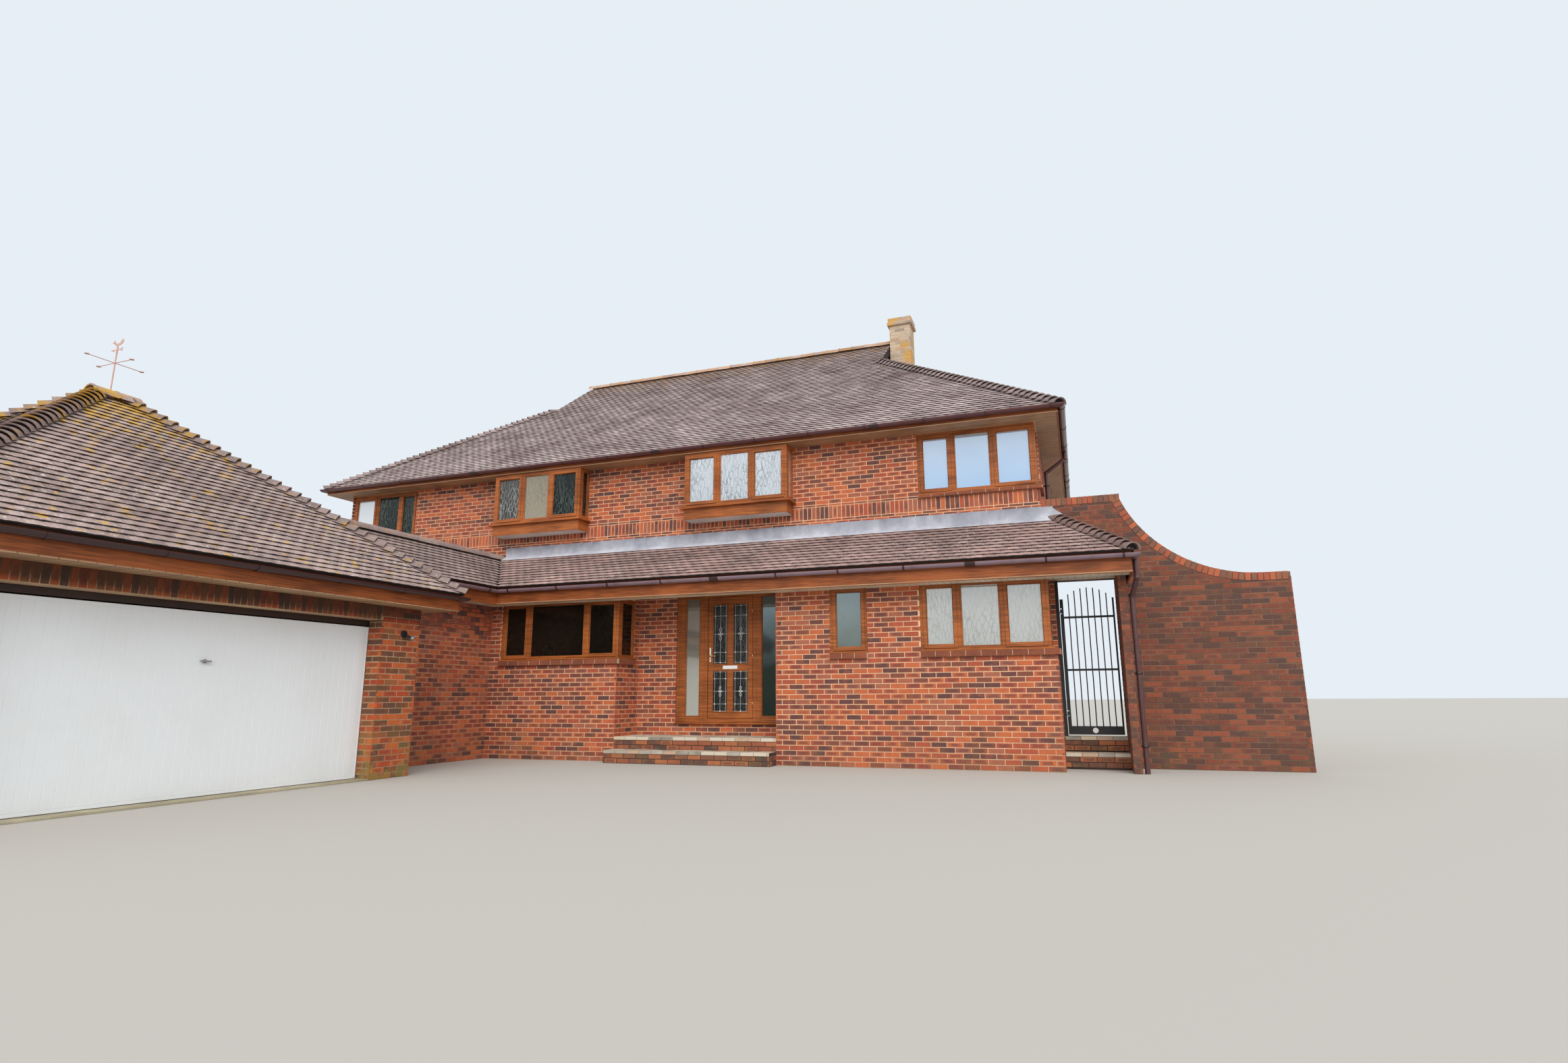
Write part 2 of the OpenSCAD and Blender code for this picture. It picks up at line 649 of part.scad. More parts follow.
module fascias() color("peru") {
    d0 = fascia_over - fascia_t;
    round_block(0, ridge_y, block_w, block_d)
        eave_board(-$side_l / 2, $side_l / 2, 1, 1, d0, fascia_over, soffit_z, main_fascia_top_z);
    translate([0, front_y, 0])
        eave_board(link_x, passage_face_x, -1, 1, d0, fascia_over, low_fascia_z, low_fascia_top_z);
    translate([passage_face_x, 0, 0]) rotate([0, 0, 90])
        eave_board(front_y, main_y, 1, 0, d0, fascia_over, low_fascia_z, low_fascia_top_z);
    difference() {
        union() {
            translate([link_x, 0, 0]) rotate([0, 0, 90])
                eave_board(link_end_y, front_y, 0, -1, d0, fascia_over, low_fascia_z, low_fascia_top_z);
            translate([link_x - link_w, 0, 0]) rotate([0, 0, -90])
                eave_board(-main_y, -link_end_y, 0, 0, d0, fascia_over, low_fascia_z, low_fascia_top_z);
        }
        under_garage_slope(2);
    }
    garage_eaves()
        eave_board(-$side_l / 2, $side_l / 2, 1, 1, d0, fascia_over, garage_soffit_z, garage_fascia_top_z);
    garage_rear() eave_board($x0, $x1, $s0, $s1, d0, fascia_over, garage_soffit_z, garage_fascia_top_z);
}

// The two stretches of the garage's rear eave beside the link
module garage_rear() {
    right_l = garage_cx + garage_w / 2 - link_x;
    left_l = link_x - link_w - garage_cx + garage_w / 2;
    translate([garage_cx, garage_y, 0]) rotate([0, 0, 180]) {
        let ($x0 = -garage_w / 2, $x1 = -garage_w / 2 + right_l, $s0 = 1, $s1 = 0) children();
        let ($x0 = garage_w / 2 - left_l, $x1 = garage_w / 2, $s0 = 0, $s1 = 1) children();
    }
}

module main_soffits() color("wheat") {
    d1 = fascia_over - fascia_t;
    round_block(0, ridge_y, block_w, block_d)
        eave_board(-$side_l / 2, $side_l / 2, 1, 1, 0, d1, soffit_z, soffit_z + soffit_t);
    garage_eaves()
        eave_board(-$side_l / 2, $side_l / 2, 1, 1, 0, d1, garage_soffit_z, garage_soffit_z + soffit_t);
    garage_rear() eave_board($x0, $x1, $s0, $s1, 0, d1, garage_soffit_z, garage_soffit_z + soffit_t);
}

module low_soffits() color("ivory") {
    d1 = fascia_over - fascia_t;
    z = low_fascia_z + 10;
    translate([0, front_y, 0]) eave_board(link_x, hip_x - 52, -1, 0, 0, d1, z, z + soffit_t);
    difference() {
        union() {
            translate([link_x, 0, 0]) rotate([0, 0, 90])
                eave_board(link_end_y, front_y, 0, -1, 0, d1, z, z + soffit_t);
            translate([link_x - link_w, 0, 0]) rotate([0, 0, -90])
                eave_board(-main_y, -link_end_y, 0, 0, 0, d1, z, z + soffit_t);
        }
        under_garage_slope(2);
    }
    box(kitchen_x, bay_x, front_y, porch_y, porch_ceiling_z, porch_ceiling_z + soffit_t);
    box(kitchen_x, bay_x, front_y + g, front_y + soffit_t, z + soffit_t, porch_ceiling_z - g);
    box(right_x, pier_x, front_y, main_y, gateway_head_z, gateway_head_z + soffit_t);
}

main_gutter_z = 5350;
low_gutter_z = 2860;
garage_gutter_z = 2440;
module gutters() color("saddlebrown") {
    round_block(0, ridge_y, block_w, block_d)
        eave_gutter(-$side_l / 2, $side_l / 2, 1, 1, main_gutter_z);
    translate([0, front_y, 0]) eave_gutter(link_x, passage_face_x, -1, 1, low_gutter_z);
    translate([passage_face_x, 0, 0]) rotate([0, 0, 90]) eave_gutter(front_y, main_y, 1, 0, low_gutter_z);
    difference() {
        union() {
            translate([link_x, 0, 0]) rotate([0, 0, 90]) eave_gutter(link_end_y, front_y, 0, -1, low_gutter_z);
            translate([link_x - link_w, 0, 0]) rotate([0, 0, -90])
                eave_gutter(-main_y, -link_end_y, 0, 0, low_gutter_z);
        }
        under_garage_slope(2);
    }
    garage_eaves() eave_gutter(-$side_l / 2, $side_l / 2, 1, 1, garage_gutter_z);
    garage_rear() eave_gutter($x0, $x1, $s0, $s1, garage_gutter_z);
}

// Downpipes: one on each side of the block and one beside the passage pier
module downpipes() color("saddlebrown") {
    out = fascia_over + gutter_r;
    near = pipe_r + 30;
    for (p = [[half_w, 2850, 1], [-half_w, 2850, -1]])
        pipe([
            [p[0] + p[2] * out, p[1], main_gutter_z - gutter_r - 1], [p[0] + p[2] * out, p[1], soffit_z - 60],
            [p[0] + p[2] * near, p[1], soffit_z - 300], [p[0] + p[2] * near, p[1], 0]
        ], pipe_r);
    x = pier_x + pier_w + pipe_r + 28;
    outlet = passage_face_x + out;
    pipe([
        [outlet, front_y - 150, low_gutter_z - gutter_r - 1], [outlet, front_y - 150, low_fascia_z - 50],
        [x, front_y + 50, low_fascia_z - 290], [x, front_y + 50, 0]
    ], pipe_r);
}

// Tile sills under the windows of the front, returned round the corner lights
sill_out = 45;
sill_in = 150;
module corner_sill(x0, x1, y, light_y, z0, z1) {
    box(x0, x1 + sill_out, y - sill_out, y + sill_in, z0, z1);
    box(x1 - sill_in, x1 + sill_out, y + sill_in + g, light_y, z0, z1);
}
module window_sills() color("brown") {
    corner_sill(corner_window[0], right_x, front_y, corner_light_y[1], sill_z, frame_z);
    corner_sill(kitchen_window[0], kitchen_x, front_y, kitchen_light_y[1], sill_z, frame_z);
    box(small_window[0], small_window[1], front_y - sill_out, front_y + sill_in, sill_z, frame_z);
    corner_sill(upper_right[0], half_w, main_y, main_y + upper_light_l, upper_sill_z, upper_frame_z);
    mirror([1, 0, 0])
        corner_sill(-upper_left[1], half_w, main_y, main_y + upper_light_l, upper_sill_z, upper_frame_z);
}

// Frames of the ground storey
module lower_frames(kind) {
    y0 = kind == "frame" ? front_y + frame_back : front_y + lower_glass_y;
    y1 = kind == "frame" ? y0 + frame_t : y0 + 24;
    lit_x(kind, corner_window, y0, y1, frame_z, lower_head_z, corner_mullions);
    lit_x(kind, small_window, y0, y1, frame_z, lower_head_z, []);
    lit_x(kind, kitchen_window, y0, y1, frame_z, lower_head_z, kitchen_mullions);
    on_right(right_x - 45) lit_x(kind, [front_y + 96, corner_light_y[1]], frame_in(kind), frame_out(kind),
        frame_z, lower_head_z, []);
    on_right(kitchen_x + frame_back) lit_x(kind, [front_y + 96, kitchen_light_y[1]], frame_in(kind), frame_out(kind),
        frame_z, lower_head_z, []);
    for (w = rear_lower) translate([w[0], back_y, 0]) rotate([0, 0, 180])
        lit_x(kind, [-w[1] / 2, w[1] / 2], frame_in(kind), frame_out(kind), sill_z, lower_head_z, [-w[1] / 6, w[1] / 6]);
    translate([rear_doors[0], back_y, 0]) rotate([0, 0, 180])
        lit_x(kind, [-rear_doors[1] / 2, rear_doors[1] / 2], frame_in(kind), frame_out(kind),
            ground_floor_z, rear_door_head_z, [0]);
    for (w = side_lower) {
        on_right(half_w) lit_x(kind, [w[0] - w[1] / 2, w[0] + w[1] / 2], frame_in(kind), frame_out(kind),
            sill_z, lower_head_z, [w[0]]);
        on_left(-half_w) lit_x(kind, [-w[0] - w[1] / 2, -w[0] + w[1] / 2], frame_in(kind), frame_out(kind),
            sill_z, lower_head_z, [-w[0]]);
    }
}

// Depths of frames and glass behind a wall face
function frame_in(kind) = kind == "frame" ? frame_back : lower_glass_y;
function frame_out(kind) = kind == "frame" ? frame_back + frame_t : lower_glass_y + 24;

// Either the frame or the panes of one window
module lit_x(kind, span, y0, y1, z0, z1, mullions)
    if (kind == "frame") frame_x(span[0], span[1], y0, y1, z0, z1, mullions);
    else panes_x(span[0], span[1], y0, y1, z0, z1, mullions);

module upper_frames(kind) {
    y0 = main_y + frame_in(kind);
    y1 = main_y + frame_out(kind);
    z1 = soffit_z;
    side = [inner_y - wall_t + 96, inner_y + upper_light_l - wall_t];
    lit_x(kind, upper_right, y0, y1, upper_frame_z, z1, upper_right_mullions);
    lit_x(kind, upper_left, y0, y1, upper_frame_z, z1, upper_left_mullions);
    on_right(half_w) lit_x(kind, side, frame_in(kind) - 7, frame_out(kind) - 7, upper_frame_z, z1, []);
    on_left(-half_w) lit_x(kind, [-side[1], -side[0]], frame_in(kind) - 7, frame_out(kind) - 7,
        upper_frame_z, z1, []);
    for (x = oriel_x) translate([x, main_y - oriel_out, 0]) {
        a = kind == "frame" ? 0 : 23;
        b = kind == "frame" ? frame_t : 47;
        half = oriel_w / 2;
        lit_x(kind, [-half, half], a, b, oriel_base_z, z1, [oriel_mullions[0] - half, oriel_mullions[1] - half]);
        on_right(half) lit_x(kind, [frame_t + g, oriel_out], a, b, oriel_base_z, z1, []);
        on_left(-half) lit_x(kind, [-oriel_out, -frame_t - g], a, b, oriel_base_z, z1, []);
    }
    for (w = rear_upper) translate([w[0], back_y, 0]) rotate([0, 0, 180])
        lit_x(kind, [-w[1] / 2, w[1] / 2], frame_in(kind), frame_out(kind), upper_sill_z, z1,
            w[1] > 1500 ? [-w[1] / 6, w[1] / 6] : [0]);
    for (w = side_upper) {
        on_right(half_w) lit_x(kind, [w[0] - w[1] / 2, w[0] + w[1] / 2], frame_in(kind), frame_out(kind),
            upper_sill_z, z1, [w[0]]);
        on_left(-half_w) lit_x(kind, [-w[0] - w[1] / 2, -w[0] + w[1] / 2], frame_in(kind), frame_out(kind),
            upper_sill_z, z1, [-w[0]]);
    }
}

module lower_windows() color("chocolate") lower_frames("frame");
module upper_windows() color("chocolate") upper_frames("frame");

module lower_glass() color("lightblue") {
    lower_frames("glass");
    for (x = [screen_x + 162, screen_x + screen_w - 162 - sidelight_w])
        box(x, x + sidelight_w, porch_y + 45, porch_y + 69, door_z + 20, screen_head_z - 70);
}

module upper_glass() color("lightblue") upper_frames("glass");

// Boxed base and sill board of each oriel
module oriel_aprons() color("chocolate") for (x = oriel_x) translate([x, main_y, 0]) {
    half = oriel_w / 2;
    box(-half, half, -oriel_out, 0, apron_z, oriel_base_z - 23);
    box(-half - 65, half + 65, -oriel_out - 65, 0, oriel_base_z - 23 + g, oriel_base_z);
}

// Door screen: sill board, two glazed sides, head and threshold
module door_frame() color("chocolate") {
    y0 = porch_y + 20;
    y1 = y0 + frame_t;
    side_w = (screen_w - door_w) / 2 - 8;
    box(screen_x, screen_x + screen_w, porch_y - 60, y1, screen_sill_z, screen_sill_z + 27);
    for (x = [screen_x, screen_x + screen_w - side_w]) difference() {
        box(x, x + side_w, y0, y1, screen_sill_z + 27 + g, screen_head_z);
        let (gx = x == screen_x ? x + 162 : x + side_w - 162 - sidelight_w)
            box(gx, gx + sidelight_w, y0 - 1, y1 + 1, door_z + 20, screen_head_z - 70);
    }
    box(screen_x + side_w + g, screen_x + screen_w - side_w - g, y0, y1, screen_sill_z + 27 + g, door_z - 6);
    box(screen_x + side_w + g, screen_x + screen_w - side_w - g, y0, y1, door_top_z + 6, screen_head_z);
}

// Front door: stiles, rails and a middle bar round four panels
door_y = porch_y + 26;
stile = 80;
middle = 92;
door_rails = [[0, 90], [783, 876], [1904, 2016]];
panel_w = (door_w - 2 * stile - middle) / 2;
handle_z = door_z + 1022;
module door_panels(y0, y1) for (i = [0, 1]) for (j = [0, 1])
    let (x = leaf_x + stile + i * (panel_w + middle))
        box(x, x + panel_w, y0, y1, door_z + door_rails[j][1], door_z + door_rails[j + 1][0]);

spindle_x = leaf_x + 42;
module front_door() color("chocolate") difference() {
    box(leaf_x, leaf_x + door_w, door_y, door_y + door_t, door_z, door_top_z);
    door_panels(door_y - 1, door_y + door_t + 1);
    translate([spindle_x, door_y - 1, handle_z]) rotate([-90, 0, 0]) cylinder(r = 10, h = door_t + 2);
}

module door_glass() color("lightblue") door_panels(door_y + 15, door_y + door_t - 15);

// Lever handle on its spindle, inside and outside
module door_handle() color("gold") {
    translate([spindle_x, door_y - 50, handle_z]) rotate([-90, 0, 0]) cylinder(r = 6, h = door_t + 100);
    for (y = [door_y - 50, door_y + door_t + 38])
        box(spindle_x - 8, spindle_x + 112, y, y + 12, handle_z - 10, handle_z + 10);
}

// Post that carries the gate, with its two hinge pins
post_x = right_x - 18;
post_w = 66;
pin_x = post_x + post_w + 20;
pin_y = main_y + 35;
hinge_z = [760, 2250];
module gate_post() color("black") {
    box(post_x, post_x + post_w, main_y + 2, main_y + 2 + post_w, gate_floor_z, gateway_head_z);
    for (z = hinge_z) {
        box(post_x + post_w - 1, pin_x, pin_y - 8, pin_y + 8, z - 36, z - 20);
        translate([pin_x, pin_y, z - 36]) cylinder(r = 12, h = 16);
        translate([pin_x, pin_y, z - 36]) cylinder(r = 8, h = 66);
    }
}

// Gate: frame of flat bars, a kick plate, two rails and upright bars under an arched line of tips
gate_w = 732;
gate_z = 456;
bar_count = 7;
bar_r = 8;
module side_gate() color("black") {
    x0 = pin_x + 12;
    x1 = x0 + gate_w;
    side_top = 2424;
    // Flat bar along the pins, cut away round each hinge
    for (z = [[gate_z, hinge_z[0] - 44], [hinge_z[0] + 38, hinge_z[1] - 44], [hinge_z[1] + 38, side_top]])
        box(pin_x - 12, x0 + 1, pin_y - 8, pin_y + 8, z[0], z[1]);
    step = (gate_w - 25) / (bar_count + 1);
    for (x = [x0, x1 - 25]) box(x, x + 25, pin_y - 12.5, pin_y + 12.5, gate_z, side_top);
    box(x0, x1, pin_y - 6, pin_y + 6, gate_z, gate_z + 120);
    for (z = [1379, 2150]) box(x0, x1, pin_y - 12.5, pin_y + 12.5, z - 15, z + 15);
    for (i = [1 : bar_count]) let (x = x0 + 12.5 + i * step, s = (i / (bar_count + 1) - 0.5) * 2)
        translate([x, pin_y, gate_z + 100]) cylinder(r = bar_r, h = 2588 - gate_z - 100 - 164 * s * s);
    for (z = hinge_z) difference() {
        union() {
            translate([pin_x, pin_y, z - 15]) cylinder(r = 15, h = 30);
            box(pin_x, x0 + 1, pin_y - 8, pin_y + 8, z - 15, z + 15);
        }
        translate([pin_x, pin_y, z - 16]) cylinder(r = 8.05, h = 32);
    }
}

// Garage door: the leaf turns on two arms while its rollers climb two channels
leaf_face_x = garage_x - leaf_recess;
leaf_gap = 8;
leaf_y0 = opening_y0 + leaf_gap;
leaf_y1 = opening_y1 - leaf_gap;
leaf_z = 25;
leaf_top_z = 1960;
arm_x = leaf_face_x - 111;
roller_z = arm_pivot_z - 2 * arm_l;
knee_z = arm_pivot_z - arm_l;
handle_y = (leaf_y0 + leaf_y1) / 2;
turn_z = 1432;

// Draws a child at both sides of the leaf: at each, y = 0 is the leaf's edge and +Y points away from it
module both_edges() {
    translate([0, leaf_y1, 0]) children();
    translate([0, leaf_y0, 0]) mirror([0, 1, 0]) children();
}

module garage_frame() color("saddlebrown") {
    x0 = leaf_face_x - 82;
    x1 = leaf_face_x - 12;
    both_edges() {
        difference() {
            union() {
                box(x0, x1, leaf_gap, leaf_gap + garage_frame_w, 19, garage_head_z);
                box(arm_x - 26, x0 + 1, 33, 63, 600, 1900);
            }
            box(arm_x - 20, arm_x + 20, 32, 60, 590, 1770);
        }
        translate([arm_x, 10, arm_pivot_z]) rotate([-90, 0, 0]) cylinder(r = 10, h = 24);
    }
    box(x0, x1, opening_y0 + g, opening_y1 - g, leaf_top_z + 16, garage_head_z);
}

module garage_door() color("white") {
    difference() {
        box(leaf_face_x - leaf_t, leaf_face_x, leaf_y0, leaf_y1, leaf_z, leaf_top_z);
        translate([leaf_face_x - leaf_t - 1, handle_y, turn_z]) rotate([0, 90, 0]) cylinder(r = 11, h = leaf_t + 2);
    }
    both_edges() {
        for (z = [knee_z, roller_z])
            box(arm_x - 14, leaf_face_x - leaf_t + 1, -40, -8, z - 30, z + 30);
        translate([arm_x, -9, knee_z]) rotate([-90, 0, 0]) cylinder(r = 10, h = 34);
        translate([arm_x, -9, roller_z]) rotate([-90, 0, 0]) cylinder(r = 8, h = 50);
        translate([arm_x, 40, roller_z]) rotate([-90, 0, 0]) cylinder(r = 15, h = 15);
    }
}

module door_arms() color("silver") both_edges() difference() {
    union() {
        box(arm_x - 16, arm_x + 16, 13, 21, knee_z, arm_pivot_z);
        for (z = [knee_z, arm_pivot_z]) translate([arm_x, 13, z]) rotate([-90, 0, 0]) cylinder(r = 20, h = 8);
    }
    for (z = [knee_z, arm_pivot_z])
        translate([arm_x, 12, z]) rotate([-90, 0, 0]) cylinder(r = 10.05, h = 10);
}

// T-handle of the garage door, on a spindle through the leaf
module garage_handle() color("dimgray") translate([leaf_face_x, handle_y, turn_z]) {
    translate([-leaf_t - 24, 0, 0]) rotate([0, 90, 0]) cylinder(r = 8, h = leaf_t + 60);
    translate([6, 0, 0]) rotate([0, 90, 0]) cylinder(r = 22, h = 6);
    box(24, 38, -58, 58, -9, 9);
    box(-leaf_t - 24, -leaf_t - 18, -60, 60, -12, 12);
}

// Weathervane on the garage ridge
vane_x = garage_cx;
vane_y = -5850;
vane_base_z = ceil(garage_edge_z + garage_rise * garage_run) + g;
cross_z = 5213;
hub_z = 5340;
hub_h = 100;
module vane_rod() color("rosybrown") {
    translate([vane_x, vane_y, vane_base_z]) {
        cylinder(r = 45, h = 30);
        cylinder(r = 8, h = hub_z - vane_base_z - 6);
        cylinder(r = 5, h = hub_z - vane_base_z + hub_h + 6);
    }
    for (a = [0 : 90 : 270]) translate([vane_x, vane_y, cross_z]) rotate([0, 90, a]) {
        cylinder(r = 5, h = 316);
        translate([0, 0, 316]) rotate([0, -90, 0]) cylinder(r = 26, h = 6, center = true);
    }
}

// Arrow and cockerel, cut from plate, on a sleeve that turns on the rod
module weathervane() color("rosybrown") translate([vane_x, vane_y, hub_z]) difference() {
    union() {
        cylinder(r = 10, h = hub_h);
        translate([0, 2, 0]) rotate([90, 0, 0]) linear_extrude(4) {
            polygon([[-120, 50], [-60, 34], [-60, 44], [60, 44], [84, 28], [108, 28], [92, 50], [108, 72],
                [84, 72], [60, 56], [-60, 56], [-60, 66]]);
            polygon([[-12, 50], [-16, 108], [-50, 118], [-78, 150], [-106, 150], [-90, 166], [-84, 184],
                [-66, 188], [-56, 162], [-30, 142], [10, 138], [40, 146], [62, 182], [98, 188], [106, 160],
                [84, 128], [44, 110], [16, 108], [12, 50]]);
        }
    }
    translate([0, 0, -1]) cylinder(r = 5.05, h = hub_h + 8);
}

front_right_wall();
front_left_walls();
front_return_walls();
porch_wall();
upper_front_wall();
right_wall();
left_wall();
back_wall();
screen_wall();
gate_pier();
garage_walls();
link_walls();
ground_floor();
first_floor();
porch_steps();
gate_steps();
garage_floor();
main_roof();
leanto_roof();
link_roof();
garage_roof();
chimney_stack();
chimney_cap();
lead_flashing();
fascias();
main_soffits();
low_soffits();
gutters();
downpipes();
window_sills();
lower_windows();
upper_windows();
oriel_aprons();
lower_glass();
upper_glass();
door_frame();
front_door();
door_glass();
door_handle();
gate_post();
side_gate();
garage_frame();
garage_door();
door_arms();
garage_handle();
vane_rod();
weathervane();
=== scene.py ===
"""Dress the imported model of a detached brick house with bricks, tiles, joinery and finishes.

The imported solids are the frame. Each class here builds the pieces of one sub-assembly in metres, in
the frame's own axes: +X to the right along the front, +Y to the back and +Z up from the ground.
"""

from __future__ import annotations

import logging
import math
from dataclasses import dataclass, field, replace
from enum import Enum
from typing import Callable, Iterable, Sequence

import bmesh
import bpy
from mathutils import Euler, Matrix, Vector

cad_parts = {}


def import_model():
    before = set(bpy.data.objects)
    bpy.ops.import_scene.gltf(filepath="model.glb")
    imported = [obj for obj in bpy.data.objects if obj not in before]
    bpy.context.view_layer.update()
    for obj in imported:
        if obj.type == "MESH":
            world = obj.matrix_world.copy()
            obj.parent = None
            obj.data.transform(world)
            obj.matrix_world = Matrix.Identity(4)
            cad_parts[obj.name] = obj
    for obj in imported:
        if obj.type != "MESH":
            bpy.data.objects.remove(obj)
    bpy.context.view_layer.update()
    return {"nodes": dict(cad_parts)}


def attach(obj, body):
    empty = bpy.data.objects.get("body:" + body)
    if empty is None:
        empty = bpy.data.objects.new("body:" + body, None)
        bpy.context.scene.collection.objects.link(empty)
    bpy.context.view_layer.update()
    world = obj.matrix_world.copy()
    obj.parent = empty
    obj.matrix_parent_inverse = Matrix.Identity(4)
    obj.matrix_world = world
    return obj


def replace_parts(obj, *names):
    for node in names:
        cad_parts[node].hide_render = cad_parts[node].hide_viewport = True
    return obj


LOG = logging.getLogger("house")
MM = 0.001
Colour = tuple[float, float, float, float]
Point = tuple[float, float, float]
Span = tuple[float, float]
Material = bpy.types.Material
Socket = bpy.types.NodeSocket
Tree = bpy.types.NodeTree

# Lines of the walls in millimetres, in the frame's axes

SIDE, FRONT, BACK = 6989, 717, 9492
LOW_FRONT, BAY_RIGHT = -150, 7101
PORCH_LEFT, PORCH_RIGHT, PORCH_BACK, PORCH_FLOOR = 121, 2949, 565, 390
LINK_LEFT, LINK_RIGHT = -3639, -2459
GARAGE_LEFT, GARAGE_RIGHT, GARAGE_FRONT, GARAGE_BACK = -6409, -1299, -8545, -3055
GATE_RIGHT, SCREEN_END, SCREEN_BACK = 7949, 10201, 932
SOFFIT, LOW_SOFFIT, GARAGE_SOFFIT = 5244, 2624, 2239
LOW_SILL, LOW_BOARD, LOW_HEAD, HIGH_SILL, HIGH_BOARD = 1574, 1649, 2674, 4159, 4204
DOOR_HEAD, SCREEN_TOP, SCREEN_LOW_TOP = 2759, 3964, 2678
RAMP_START, RAMP_CENTRE, RAMP_RADIUS = 8082, (9857, 4548), 1870
ORIELS, ORIEL_REACH = (-2081.5, 1993.5), 957.5
STACK_X, STACK_Y = (3870, 4329), (4879.5, 5329.5)
RIDGE_Y = (FRONT + BACK) / 2
BACK_WINDOWS = ((-5000, 1800), (-1700, 1200), (1700, 1200), (5000, 1800))


def paint(red: int, green: int, blue: int) -> Colour:
    """Turn an eight-bit screen colour into the linear colour that a shader takes.

    Args:
        red: Red from 0 to 255.
        green: Green from 0 to 255.
        blue: Blue from 0 to 255.

    Returns:
        The linear colour with an alpha of one.
    """
    def linear(value: int) -> float:
        """Undo the screen curve of one channel."""
        v = value / 255.0
        return v / 12.92 if v <= 0.04045 else ((v + 0.055) / 1.055) ** 2.4

    return (linear(red), linear(green), linear(blue), 1.0)


# Finishes


class Network:
    """A node tree whose nodes are added, set and joined in one call each."""

    def __init__(self, tree: Tree) -> None:
        """Work on a tree."""
        self.tree = tree

    def node(self, kind: str, feeds: dict[str | int, object], out: str | int = 0,
             **settings: object) -> Socket:
        """Add a node.

        Args:
            kind: The node's type.
            feeds: Inputs by name or number, each with a socket to join or a value to set.
            out: The output that is wanted.
            **settings: The node's own properties, set before its inputs.

        Returns:
            The wanted output.
        """
        node = self.tree.nodes.new(kind)
        for key, value in settings.items():
            setattr(node, key, value)
        self.feed(node, feeds)
        return node.outputs[out]

    def feed(self, node: bpy.types.Node, feeds: dict[str | int, object]) -> None:
        """Join sockets to a node's inputs or set their values."""
        for key, value in feeds.items():
            if isinstance(value, Socket):
                self.tree.links.new(value, node.inputs[key])
            else:
                node.inputs[key].default_value = value


